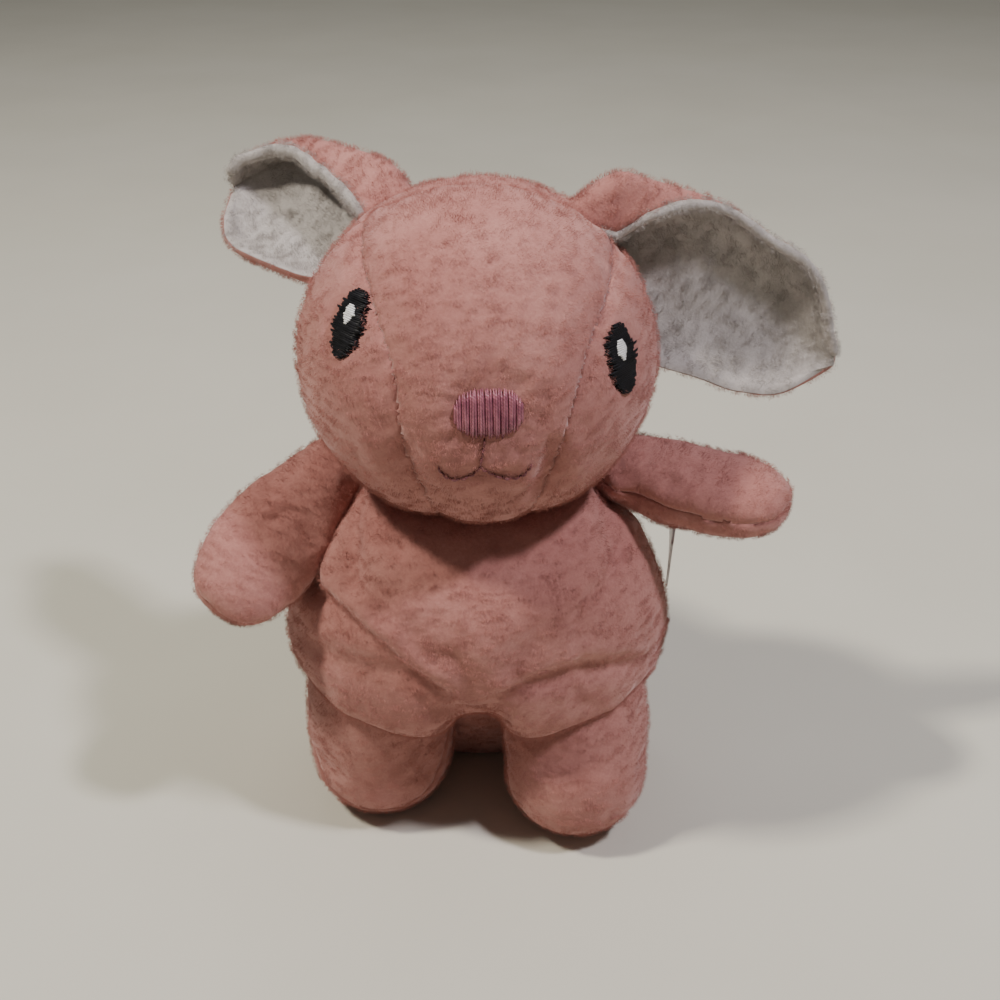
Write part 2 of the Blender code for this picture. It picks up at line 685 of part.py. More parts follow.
def build_label(parts, finishes):
    """A blank satin ribbon folded to a loop, sewn in the left side seam and standing back."""
    lean = math.radians(LABEL_LEAN)
    along = Vector((0.06, math.cos(lean), math.sin(lean)))
    across = Vector((0.0, -math.sin(lean), math.cos(lean)))
    path = [(0.0, 0.0), (0.35, 0.5), (0.7, 1.0), (0.97, 0.9), (1.0, 1.6), (0.97, 2.3), (0.7, 2.6),
            (0.35, 2.1), (0.0, 1.2)]
    strip = bmesh.new()
    rows = []
    for share, bulge in path:
        middle = LABEL_ROOT + along * share * LABEL_LENGTH + Vector((bulge * MM, 0, 0))
        rows.append([strip.verts.new(middle + across * LABEL_WIDTH * side) for side in (-0.5, 0.5)])
    for first, second in zip(rows, rows[1:]):
        strip.faces.new((first[0], first[1], second[1], second[0]))
    mesh = bpy.data.meshes.new("care_label")
    strip.to_mesh(mesh)
    strip.free()
    thicken(add_object("care_label", mesh, parts, finishes["label"]), LABEL_THICKNESS)


def build_head_room(cutters):
    """The dish in the body's top that the head nods and turns over."""
    points = []
    for nod in (HEAD_NOD[0], 0.0, HEAD_NOD[1]):
        tilt = Matrix.Rotation(math.radians(nod), 3, "X")
        points += [NECK_PIVOT + tilt @ (point - NECK_PIVOT)
                   for point in sample_points(head_point, MOVE_GAP, 20, 12)]
    return sweep_cutter("head_room", points, NECK_PIVOT, "Z", HEAD_TURN, cutters, 4)


def move_origin():
    """Bring the middle of the flat seat to the origin; pieces under a pivot go with it."""
    for scene_object in bpy.context.scene.objects:
        if scene_object.parent is None:
            scene_object.location -= SEAT_POINT


def build_rabbit():
    clear_scene()
    parts = new_collection("plush_rabbit")
    cutters = new_collection("plush_rabbit_cutters")
    finishes = {
        "plush": material("pink_plush", PINK, 0.95),
        "lining": material("cream_plush", CREAM, 0.95),
        "fibre": material("polyester_fibre", FIBRE, 0.9),
        "pellet": material("plastic_pellets", PELLET, 0.6),
        "eye": material("black_thread", BLACK, 0.45),
        "glint": material("white_thread", WHITE, 0.45),
        "nose": material("rose_thread", ROSE, 0.5),
        "mouth": material("brown_thread", BROWN_ROSE, 0.6),
        "label": material("white_satin", WHITE, 0.4),
    }
    neck = add_pivot("neck_turn", NECK_PIVOT, parts)
    head = add_pivot("head_nod", NECK_PIVOT, parts, neck)
    head_core = build_head(parts, cutters, finishes, head)
    front, back, core = build_body(parts, cutters, finishes)
    head_neck, body_neck = build_neck(parts, cutters, finishes, neck)
    cut(head_core, head_neck)
    rooms = build_arms(parts, cutters, finishes) + build_legs(parts, cutters, finishes)
    rooms.append(build_head_room(cutters))
    for piece in (front, back, core):
        for room in rooms:
            cut(piece, room)
    tail_room = build_tail(parts, cutters, finishes)
    cut(back, tail_room)
    cut(core, tail_room)
    cut(core, body_neck)
    cut(core, build_pellets(parts, cutters, finishes))
    build_ear("ear_left", EAR_LEFT, EAR_LEFT_REACH, parts, finishes, head)
    build_ear("ear_right", EAR_RIGHT, EAR_RIGHT_REACH, parts, finishes, head)
    build_face(parts, finishes, head)
    build_label(parts, finishes)
    move_origin()


build_rabbit()
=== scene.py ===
"""Looks of the plush rabbit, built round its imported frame.

Padded members, curled ears, a stitched face and short pile.

Metres, +Z up, the rabbit faces -Y and its left side is at +X.  The origin is the middle of the flat seat.
"""

import json
import math

import bmesh
import bpy
import numpy as np
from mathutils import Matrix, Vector, noise
from mathutils.bvhtree import BVHTree


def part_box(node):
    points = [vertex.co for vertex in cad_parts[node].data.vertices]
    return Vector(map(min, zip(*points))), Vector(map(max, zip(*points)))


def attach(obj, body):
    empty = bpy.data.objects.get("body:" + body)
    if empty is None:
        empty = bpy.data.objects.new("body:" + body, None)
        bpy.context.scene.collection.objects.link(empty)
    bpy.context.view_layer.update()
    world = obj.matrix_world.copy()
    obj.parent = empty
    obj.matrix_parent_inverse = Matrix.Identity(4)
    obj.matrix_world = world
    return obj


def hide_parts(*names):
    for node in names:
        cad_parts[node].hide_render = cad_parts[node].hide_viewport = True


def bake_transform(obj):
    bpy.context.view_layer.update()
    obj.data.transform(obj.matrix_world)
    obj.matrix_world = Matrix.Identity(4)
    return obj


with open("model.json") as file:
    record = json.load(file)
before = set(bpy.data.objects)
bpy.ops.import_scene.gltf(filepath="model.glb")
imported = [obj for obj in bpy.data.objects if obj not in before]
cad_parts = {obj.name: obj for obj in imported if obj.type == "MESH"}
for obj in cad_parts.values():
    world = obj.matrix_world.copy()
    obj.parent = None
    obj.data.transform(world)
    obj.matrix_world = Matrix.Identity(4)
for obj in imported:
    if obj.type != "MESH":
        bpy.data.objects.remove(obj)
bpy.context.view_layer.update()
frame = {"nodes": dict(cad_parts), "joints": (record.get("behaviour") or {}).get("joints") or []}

MM = 0.001
FAR = 1e9
JOINTS = {joint["name"]: joint for joint in frame["joints"]}


def pivot(joint):
    return Vector(JOINTS[joint]["pos_m"])


def union_box(*nodes):
    boxes = [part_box(node) for node in nodes]
    low = Vector([min(box[0][axis] for box in boxes) for axis in range(3)])
    high = Vector([max(box[1][axis] for box in boxes) for axis in range(3)])
    return low, high


# ---------------------------------------------------------------- driving sizes
VOXEL = 1.5 * MM                # of the padded shapes before their one subdivision
SIM_SCALE = 4.0                 # the cloth is stepped at this enlargement, where its springs behave
SIM_FRAMES = 16
SIM_PRESSURE = 3.0
CLOTH_MASS = 0.3
CLOTH_STRETCH = 15.0            # stiffness against stretching and pressing together
CLOTH_SHEAR = 5.0
CLOTH_BEND = 0.6
PILE_LENGTH = 0.65 * MM
PILE_RADIUS = 0.035 * MM
PILE_DENSITY = 12.0e6           # hairs on a square metre
TUFT_HAIRS = 26
TUFT_RADIUS = 1.15 * MM
SEAM_STYLES = {                 # depth, width and pucker of a seam's groove, in millimetres
    "head": (0.38, 0.75, 0.26),
    "body": (0.5, 0.75, 0.2),
    "limb": (0.45, 0.7, 0.22),
}
FILL_DEPTH = 3.2 * MM           # the filling lies this far under the fabric

# ---------------------------------------------------------------- what the frame gives
HEAD_PANELS = ("head_front_gusset", "head_side_left", "head_side_right", "head_back_panel")
BODY_PANELS = ("body_front_panel", "body_back_panel")
HEAD_LOW, HEAD_HIGH = union_box(*HEAD_PANELS)
BODY_LOW, BODY_HIGH = union_box(*BODY_PANELS)
NECK = pivot("head_nod")
HALF_WIDTH = (BODY_HIGH.x - BODY_LOW.x) / 2
LEG_TOP = max(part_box("leg_left_front_panel")[1].z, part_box("leg_right_front_panel")[1].z)
BACK_SEAM_Y = (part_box("head_back_panel")[0].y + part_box("head_side_left")[1].y) / 2


def middle(name):
    low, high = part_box(name)
    return (low + high) / 2


def half_size(name):
    low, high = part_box(name)
    return (high - low) / 2


def node_points(*names):
    return np.vstack([points_of(frame["nodes"][name].data) for name in names])


def cad_tree(*names):
    """One search tree over the surfaces of the named CAD pieces."""
    points, faces = [], []
    for name in names:
        mesh = frame["nodes"][name].data
        start = len(points)
        points += [vertex.co.copy() for vertex in mesh.vertices]
        faces += [[start + index for index in face.vertices] for face in mesh.polygons]
    return BVHTree.FromPolygons(points, faces)


# ---------------------------------------------------------------- meshes
def new_object(name, mesh):
    made = bpy.data.objects.new(name, mesh)
    bpy.context.scene.collection.objects.link(made)
    return made


def mesh_from(made, name):
    """Turn a bmesh into a mesh, and free it."""
    mesh = bpy.data.meshes.new(name)
    made.to_mesh(mesh)
    made.free()
    return mesh


def dressed(mesh, finish):
    mesh.materials.clear()
    mesh.materials.append(finish)
    mesh.shade_smooth()


def stands_for(cad_node):
    """The piece takes the CAD node's place."""
    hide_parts(cad_node)


def bell(distance, width):
    """One at no distance, and soon nought beyond the width."""
    return np.exp(-(distance / width) ** 2)


def eased(value):
    """Clamp to nought to one with a soft start and end."""
    value = min(1.0, max(0.0, value))
    return value * value * (3 - 2 * value)


def points_of(mesh):
    flat = np.empty(len(mesh.vertices) * 3, np.float32)
    mesh.vertices.foreach_get("co", flat)
    return flat.reshape(-1, 3).astype(float)


def normals_of(mesh):
    flat = np.empty(len(mesh.vertices) * 3, np.float32)
    mesh.vertex_normals.foreach_get("vector", flat)
    return flat.reshape(-1, 3).astype(float)


def set_points(mesh, points):
    mesh.vertices.foreach_set("co", points.astype(np.float32).ravel())
    mesh.update()


def push_out(mesh, amount):
    """Move every point along its normal."""
    set_points(mesh, points_of(mesh) + normals_of(mesh) * amount[:, None])


def apply_modifiers(piece):
    """Put the evaluated shape back into the object and drop its modifiers."""
    depsgraph = bpy.context.evaluated_depsgraph_get()
    made = bpy.data.meshes.new_from_object(piece.evaluated_get(depsgraph))
    old = piece.data
    piece.modifiers.clear()
    piece.data = made
    bpy.data.meshes.remove(old)


def ball_mesh(name, shape, segments=48, rings=32):
    """A closed surface: every point of a unit sphere moved to where shape puts it."""
    made = bmesh.new()
    bmesh.ops.create_uvsphere(made, u_segments=segments, v_segments=rings, radius=1.0)
    for vertex in made.verts:
        vertex.co = shape(vertex.co)
    return mesh_from(made, name)


def remeshed(name, mesh, voxel=VOXEL):
    piece = new_object(name, mesh)
    remesh = piece.modifiers.new("remesh", "REMESH")
    remesh.mode = "VOXEL"
    remesh.voxel_size = voxel
    apply_modifiers(piece)
    relax(piece.data, 2)
    return piece


def edges_of(mesh):
    pairs = np.empty(len(mesh.edges) * 2, np.int32)
    mesh.edges.foreach_get("vertices", pairs)
    return pairs.reshape(-1, 2)


def relax(mesh, rounds):
    """Move every point halfway to the mean of its neighbours."""
    points, pairs = points_of(mesh), edges_of(mesh)
    count = np.bincount(pairs.ravel(), minlength=len(points))[:, None]
    for _ in range(rounds):
        total = np.zeros_like(points)
        np.add.at(total, pairs[:, 0], points[pairs[:, 1]])
        np.add.at(total, pairs[:, 1], points[pairs[:, 0]])
        points += (total / count - points) * 0.5
    set_points(mesh, points)


def subdivided(piece, levels=1):
    subsurf = piece.modifiers.new("subdivision", "SUBSURF")
    subsurf.levels = subsurf.render_levels = levels
    apply_modifiers(piece)


# ---------------------------------------------------------------- cloth
def puffed(piece, pins, excess, cap):
    """Swell the fabric: pins holds points still, excess is spare cloth, cap bounds the move."""
    start = points_of(piece.data)
    set_points(piece.data, start * SIM_SCALE)
    group = piece.vertex_groups.new(name="pins")
    for index in np.nonzero(pins > 0.02)[0]:
        group.add([int(index)], float(min(1.0, pins[index])), "REPLACE")
    cloth = piece.modifiers.new("cloth", "CLOTH")
    settings = cloth.settings
    settings.quality = 5
    settings.mass = CLOTH_MASS
    settings.tension_stiffness = settings.compression_stiffness = CLOTH_STRETCH
    settings.shear_stiffness = CLOTH_SHEAR
    settings.bending_stiffness = CLOTH_BEND
    settings.use_pressure = True
    settings.uniform_pressure_force = SIM_PRESSURE
    settings.shrink_min = -excess
    settings.vertex_group_mass = "pins"
    settings.effector_weights.gravity = 0.0
    cloth.collision_settings.use_collision = False
    cloth.point_cache.frame_start = 1
    cloth.point_cache.frame_end = SIM_FRAMES
    scene = bpy.context.scene
    for step in range(1, SIM_FRAMES + 1):
        scene.frame_set(step)
    apply_modifiers(piece)
    piece.vertex_groups.clear()
    scene.frame_set(1)
    moved = points_of(piece.data) / SIM_SCALE - start
    length = np.linalg.norm(moved, axis=1, keepdims=True)
    moved *= np.minimum(1.0, cap / np.maximum(length, 1e-9))
    set_points(piece.data, start + moved)


# ---------------------------------------------------------------- creases and seams
def smooth_polyline(points, steps=8):
    """A Catmull-Rom curve through the points, as an array in metres."""
    knots = [Vector(point) * MM for point in points]
    knots = [knots[0] * 2 - knots[1]] + knots + [knots[-1] * 2 - knots[-2]]
    made = []
    for index in range(1, len(knots) - 2):
        a, b, c, d = knots[index - 1:index + 3]
        for step in range(steps):
            t = step / steps
            made.append(0.5 * (2 * b + (c - a) * t + (2 * a - 5 * b + 4 * c - d) * t * t
                               + (3 * b - a - 3 * c + d) * t ** 3))
    made.append(knots[-2])
    return np.array(made)


def near_line(flat, line):
    """Distance to a polyline in its plane, and the share of its length at the nearest place."""
    best = np.full(len(flat), FAR)
    share = np.zeros(len(flat))
    pieces = len(line) - 1
    for index in range(pieces):
        a, b = line[index], line[index + 1]
        span = b - a
        along = np.clip(((flat - a) @ span) / max(span @ span, 1e-12), 0, 1)
        offset = flat - (a + along[:, None] * span)
        distance = np.linalg.norm(offset, axis=1)
        closer = distance < best
        best[closer] = distance[closer]
        share[closer] = (index + along[closer]) / pieces
    return best, share


def crease(mesh, line, depth, width, swell=0.35, fade=0.18, overhang=0.0):
    """Press a soft fold into the front along a line in XZ; overhang lets the side above hang over."""
    points, normals = points_of(mesh), normals_of(mesh)
    facing = np.clip(-normals[:, 1] * 2.5 + 0.4, 0, 1)
    distance, share = near_line(points[:, [0, 2]], line)
    ends = np.clip(share / fade, 0, 1) * np.clip((1 - share) / fade, 0, 1)
    ends = ends * ends * (3 - 2 * ends)
    groove = -depth * bell(distance, width)
    ridge = depth * swell * bell(distance - 2.2 * width, 1.3 * width)
    height = np.interp(points[:, 0], *line[np.argsort(line[:, 0])].T)
    above = np.where(points[:, 2] > height, 1.0, -1.0)
    beside = (1 - bell(distance, width)) * bell(distance, 4.2 * width)
    step = overhang * above * beside
    push_out(mesh, (groove + ridge + step) * ends * facing)


def ripple(points, scale, seed):
    """Smooth noise from -1 to 1 at each point."""
    shift = Vector((seed * 7.3, seed * 3.1, seed * 5.7))
    return np.array([noise.noise(Vector(point) / scale + shift) for point in points])


def stitched_groove(mesh, distance, style, seed):
    """A seam where distance is nought: a narrow groove whose sides pucker."""
    depth, width, pucker = [value * MM for value in SEAM_STYLES[style]]
    points = points_of(mesh)
    near = bell(distance, width)
    wide = bell(distance, 3.2 * width)
    waves = ripple(points, 2.2 * MM, seed) * wide * pucker
    push_out(mesh, waves - near * depth - wide * depth * 0.45)


def tree_of(piece):
    depsgraph = bpy.context.evaluated_depsgraph_get()
    return BVHTree.FromObject(piece, depsgraph)


def distances_to(points, tree, reach=1.0):
    """Signed distance to a closed surface, negative inside it."""
    found = np.full(len(points), reach)
    for index, point in enumerate(points):
        place, normal, _, gap = tree.find_nearest(Vector(point), reach)
        if place is not None:
            found[index] = gap if (Vector(point) - place).dot(normal) >= 0 else -gap
    return found


def tucked(piece, neighbour, depth, width):
    """Pull the fabric in where it meets a neighbour, as at a sewn joint."""
    gap = np.abs(distances_to(points_of(piece.data), tree_of(neighbour), 3 * width))
    push_out(piece.data, -depth * bell(gap, width))


# ---------------------------------------------------------------- padded shapes
def wrapped(names, segments=64, rings=44, stretch=None):
    """A closed skin drawn over CAD panels from outside, bridging the open lines between them."""
    tree = cad_tree(*names)
    low, high = union_box(*names)
    centre, reach = (low + high) / 2, (high - low).length
    made = bmesh.new()
    bmesh.ops.create_uvsphere(made, u_segments=segments, v_segments=rings, radius=1.0)
    directions = [vertex.co.copy() for vertex in made.verts]
    radii = []
    for direction in directions:
        place = tree.ray_cast(centre + direction * reach, -direction)[0]
        radii.append((place - centre).length if place else 0.0)
    around = [[edge.other_vert(vertex).index for edge in vertex.link_edges] for vertex in made.verts]
    for choose in (max, max, min, min):
        radii = [choose([radius] + [radii[other] for other in others])
                 for radius, others in zip(radii, around)]
    for vertex, direction, radius in zip(made.verts, directions, radii):
        place = centre + direction * radius
        vertex.co = stretch(place) if stretch else place
    return mesh_from(made, names[0])


def body_sections():
    """Height, half width, front and back of the body, felt from outside on its CAD panels, seat to collar."""
    tree = cad_tree(*BODY_PANELS)
    reach = 2 * (BODY_HIGH - BODY_LOW).length

    def felt(x, y, z, direction):
        """Where a line from far outside first meets the fabric, or nothing."""
        direction = Vector(direction)
        return tree.ray_cast(Vector((x, y, z)) - direction * reach, direction, 2 * reach)[0]
    rows = []
    beside = half_size("tail").x + 3 * MM              # clear of the room cut for the tail
    for height in np.linspace(BODY_LOW.z + 0.6 * MM, BODY_HIGH.z - 3 * MM, 15):
        front = min(felt(x * MM, 0, height, (0, 1, 0)).y for x in (-2, 0, 2))
        back = max(felt(x, 0, height, (0, -1, 0)).y for x in (-beside, beside))
        widths = []
        for across in (0.3, 0.4, 0.5, 0.6, 0.7):        # behind the limbs, clear of the room cut for them
            y = (front + back) / 2 + across * (back - front) / 2
            for side in (-1, 1):
                place = felt(0, y, height, (-side, 0, 0))
                if place:
                    widths.append(abs(place.x) / math.sqrt(1 - across ** 2))
        width = np.median(widths)
        bulge = 1 / math.sqrt(1 - min(0.6, beside / width) ** 2)
        rows.append((height, width, front, (front + back) / 2 + (back - front) / 2 * bulge))
    _, width, front, back = rows[-1]
    tuck = 0.3 * (back - front)
    rows.append((NECK.z - 4 * MM, width * 0.55, front + tuck, back - tuck))
    return np.array(rows)


def build_body_mesh():
    rows = body_sections()
    top = rows[-1, 0]

    def shape(unit):
        height = min(max(top * (0.5 + 0.54 * unit.z), 0.0), top)
        ring = math.sqrt(max(0.0, 1.0 - unit.z ** 2))
        flat = Vector((unit.x, unit.y))
        direction = flat / ring if ring > 1e-6 else flat
        fullness = min(1.0, ring / math.sqrt(1 - 0.925 ** 2))
        width, front, back = [float(np.interp(height, rows[:, 0], rows[:, column])) for column in (1, 2, 3)]
        y = (front + back) / 2 + direction.y * (back - front) / 2 * fullness
        x = direction.x * width * fullness
        if direction.y < 0:
            y += (haunch_recess(x, height) - haunch_swell(x, height)) * min(1.0, -direction.y * 1.6)
        return Vector((x, y, height))
    return ball_mesh("body", shape, 96, 84)


def haunch_recess(x, z):
    """How far the front lies back below the belly's V, above each leg."""
    line = BELLY_FOLDS[0 if x < 0 else 1][0]
    order = np.argsort(line[:, 0])
    height = float(np.interp(x, line[order, 0], line[order, 1]))
    below = eased((height - z) / HAUNCH_DROP)
    side = min(1.0, max(0.0, (0.98 * HALF_WIDTH - abs(x)) / (0.4 * HALF_WIDTH)))
    return HAUNCH_DEPTH * below * side


def haunch_swell(x, z):
    """How far the front is padded out above each leg, so that the haunch runs on into the thigh."""
    drop = min(HAUNCH_SWELL, max(0.0, LEG_TOP + 5 * MM - z) * 0.6)
    fade = min(1.0, max(0.0, (z - 0.25 * LEG_TOP) / (0.25 * LEG_TOP)))
    inner = eased((abs(x) - 2.5 * MM) / (7 * MM))
    outer = min(1.0, max(0.0, (HALF_WIDTH - abs(x)) / (0.3 * HALF_WIDTH)))
    return drop * fade * inner * outer


def seam_map(points, trees):
    """For each point its nearest panel, and how far it is from the seam with the next one."""
    gaps = np.array([[tree.find_nearest(Vector(point))[3] for tree in trees] for point in points])
    order = np.sort(gaps, axis=1)
    return np.argmin(gaps, axis=1), np.sqrt(np.maximum(order[:, 1] ** 2 - order[:, 0] ** 2, 0.0))


# ---------------------------------------------------------------- materials
def node(tree, kind, *wires, **values):
    """A node with its values set; a wire is an output for the next input, or (input name, output)."""
    made = tree.nodes.new(kind)
    for key, value in values.items():
        if key in made.inputs:
            made.inputs[key].default_value = value
        else:
            setattr(made, key, value)
    for index, wire in enumerate(wires):
        target, output = wire if isinstance(wire, tuple) else (index, wire)
        tree.links.new(output, made.inputs[target])
    return made


def base_material(name, roughness=0.8):
    made = bpy.data.materials.new(name)
    made.use_nodes = True
    tree = made.node_tree
    shader = tree.nodes["Principled BSDF"]
    shader.inputs["Roughness"].default_value = roughness
    coordinates = tree.nodes.new("ShaderNodeTexCoord")
    return made, tree, shader, coordinates.outputs["Object"]


def noise_at(tree, place, scale, detail=3.0, roughness=0.55):
    made = node(tree, "ShaderNodeTexNoise", Scale=scale, Detail=detail, Roughness=roughness)
    tree.links.new(place, made.inputs["Vector"])
    return made.outputs["Fac"]


def ramp(tree, value, *stops):
    made = tree.nodes.new("ShaderNodeValToRGB")
    elements = made.color_ramp.elements
    while len(elements) < len(stops):
        elements.new(0.5)
    for element, (position, colour) in zip(elements, stops):
        element.position = position
        element.color = (*colour, 1.0)
    tree.links.new(value, made.inputs["Fac"])
    return made.outputs["Color"]


def painted(tree, shader, value, *stops):
    tree.links.new(ramp(tree, value, *stops), shader.inputs["Base Color"])


def bumped(tree, shader, height, strength, distance):
    bump = node(tree, "ShaderNodeBump", Strength=strength, Distance=distance)
    tree.links.new(height, bump.inputs["Height"])
    tree.links.new(bump.outputs["Normal"], shader.inputs["Normal"])


def plush(name, dark, middle, light, sheen_tint, for_hair=False):
    """Short pile: broad patches where the nap lies one way or the other, fine grain, soft sheen."""
    made, tree, shader, place = base_material(name, 0.92)
    patches = noise_at(tree, place, 55.0, 2.0)
    grain = noise_at(tree, place, 1400.0, 4.0, 0.7)
    mixed = node(tree, "ShaderNodeMix", data_type="FLOAT")
    mixed.inputs["Factor"].default_value = 0.5
    tree.links.new(patches, mixed.inputs["A"])
    tree.links.new(grain, mixed.inputs["B"])
    painted(tree, shader, mixed.outputs["Result"], (0.30, dark), (0.5, middle), (0.68, light))
    shader.inputs["Specular IOR Level"].default_value = 0.15
    if not for_hair:
        shader.inputs["Sheen Weight"].default_value = 0.35
        shader.inputs["Sheen Roughness"].default_value = 0.5
        shader.inputs["Sheen Tint"].default_value = (*sheen_tint, 1.0)
        bumped(tree, shader, grain, 0.6, 0.25 * MM)
    return made


def thread(name, colour, light, roughness=0.38, gleam=0.5):
    """Twisted embroidery thread: fine slanted ridges and a silky gleam."""
    made, tree, shader, place = base_material(name, roughness)
    twist = node(tree, "ShaderNodeTexWave", Scale=900.0, Distortion=1.5, Detail=1.0)
    twist.bands_direction = "DIAGONAL"
    tree.links.new(place, twist.inputs["Vector"])
    blotch = noise_at(tree, place, 700.0)
    painted(tree, shader, blotch, (0.35, colour), (0.72, light))
    shader.inputs["Specular IOR Level"].default_value = gleam
    bumped(tree, shader, twist.outputs["Fac"], 0.5, 0.08 * MM)
    return made


def fibre(name):
    """Loose white filling."""
    made, tree, shader, place = base_material(name, 0.95)
    tufts = noise_at(tree, place, 260.0, 6.0, 0.75)
    painted(tree, shader, tufts, (0.3, (0.62, 0.61, 0.58)), (0.7, (0.86, 0.86, 0.84)))
    shader.inputs["Sheen Weight"].default_value = 0.4
    bumped(tree, shader, tufts, 1.0, 0.8 * MM)
    return made


def pellets(name):
    """A thin bag whose pellets show as small rounds: painted shade darkens the colour from each pellet's
    middle into the gaps between them.
    """
    made, tree, shader, place = base_material(name, 0.5)
    cells = node(tree, "ShaderNodeTexVoronoi", Scale=480.0)
    tree.links.new(place, cells.inputs["Vector"])
    # painted shade: lighter at each pellet's middle, darker in the gaps between pellets
    painted(tree, shader, cells.outputs["Distance"], (0.0, (0.80, 0.80, 0.78)), (0.6, (0.50, 0.50, 0.48)))
    bumped(tree, shader, cells.outputs["Distance"], 1.0, -1.0 * MM)
    return made


def satin(name):
    """Woven label ribbon with a fine weave."""
    made, tree, shader, place = base_material(name, 0.3)
    weave = node(tree, "ShaderNodeTexWave", Scale=1500.0, Distortion=0.3)
    tree.links.new(place, weave.inputs["Vector"])
    tint = noise_at(tree, place, 90.0)
    painted(tree, shader, tint, (0.3, (0.74, 0.73, 0.71)), (0.7, (0.84, 0.84, 0.83)))
    shader.inputs["Anisotropic"].default_value = 0.5
    bumped(tree, shader, weave.outputs["Fac"], 0.35, 0.05 * MM)
    return made


PINK_TONES = ((0.35, 0.143, 0.120), (0.42, 0.185, 0.156), (0.50, 0.240, 0.203))
CREAM_TONES = ((0.35, 0.32, 0.29), (0.42, 0.39, 0.36), (0.50, 0.47, 0.44))
finishes = {
    "pink": plush("pink_plush_fabric", *PINK_TONES, (1.0, 0.80, 0.78)),
    "pink_pile": plush("pink_plush_pile", *PINK_TONES, (1.0, 0.80, 0.78), True),
    "cream": plush("cream_plush_fabric", *CREAM_TONES, (1.0, 0.98, 0.95)),
    "cream_pile": plush("cream_plush_pile", *CREAM_TONES, (1.0, 0.98, 0.95), True),
    "black": thread("black_satin_thread", (0.002, 0.002, 0.003), (0.010, 0.010, 0.013), 0.5, 0.2),
    "white": thread("white_satin_thread", (0.72, 0.72, 0.70), (0.90, 0.90, 0.88)),
    "rose": thread("rose_satin_thread", (0.25, 0.075, 0.11), (0.46, 0.17, 0.21)),
    "brown": thread("brown_rose_thread", (0.16, 0.045, 0.05), (0.27, 0.09, 0.09), 0.55),
    "fibre": fibre("polyester_fibre_fill"),
    "pellets": pellets("pellet_bag"),
    "satin": satin("label_satin"),
}


# ---------------------------------------------------------------- pile
PILE_INPUTS = {
    "Density": "Float", "Length": "Float", "Lean": "Float",
    "Comb": "Vector", "Hair": "Material", "Seed": "Int",
}
HAIR_BEND = 0.45                # how far a hair's end lies sideways, as a share of its length
HAIR_TILT = 0.4                 # radians, the most that a hair stands off its tuft's direction
SWIRL_SCALE = 170.0             # of the noise that turns the nap, per metre
SWIRL_SHARE = 0.8
TUFT_JITTER = 0.16
FULL_TURN = 6.28


def random_vector(tree, low, high):
    return node(tree, "FunctionNodeRandomValue", data_type="FLOAT_VECTOR", Min=low, Max=high).outputs["Value"]


def calculated(tree, operation, *wires, **values):
    return node(tree, "ShaderNodeMath", *wires, operation=operation, **values).outputs[0]


def vector_sum(tree, first, second):
    return node(tree, "ShaderNodeVectorMath", first, second, operation="ADD").outputs[0]


def tuft_nodes(tree, given):
    """A pinch of bent, tapering hairs standing on a small disc."""
    hair = node(tree, "GeometryNodeMeshCone", ("Depth", given["Length"]), fill_type="NONE")
    hair.inputs["Vertices"].default_value = hair.inputs["Side Segments"].default_value = 3
    hair.inputs["Radius Top"].default_value = 0.0
    hair.inputs["Radius Bottom"].default_value = PILE_RADIUS
    place = node(tree, "GeometryNodeInputPosition").outputs[0]
    height = node(tree, "ShaderNodeSeparateXYZ", place).outputs["Z"]
    share = calculated(tree, "DIVIDE", calculated(tree, "MULTIPLY", height, height), given["Length"])
    sideways = node(tree, "ShaderNodeMath", share, operation="MULTIPLY")
    sideways.inputs[1].default_value = HAIR_BEND
    offset = node(tree, "ShaderNodeCombineXYZ", sideways.outputs[0])
    bent = node(tree, "GeometryNodeSetPosition", hair.outputs["Mesh"], ("Offset", offset.outputs[0]))
    low, high = (-TUFT_RADIUS, -TUFT_RADIUS, -0.1 * MM), (TUFT_RADIUS, TUFT_RADIUS, 0.0)
    feet = node(tree, "GeometryNodePoints", ("Position", random_vector(tree, low, high)), Count=TUFT_HAIRS)
    turned = random_vector(tree, (-HAIR_TILT, -HAIR_TILT, 0.0), (HAIR_TILT, HAIR_TILT, FULL_TURN))
    sized = random_vector(tree, (0.6, 0.6, 0.55), (1.1, 1.1, 1.1))
    standing = node(tree, "GeometryNodeInstanceOnPoints", ("Points", feet.outputs[0]),
                    ("Instance", bent.outputs[0]), ("Rotation", turned), ("Scale", sized))
    real = node(tree, "GeometryNodeRealizeInstances", standing.outputs[0])
    return node(tree, "GeometryNodeSetMaterial", real.outputs[0], ("Material", given["Hair"])).outputs[0]


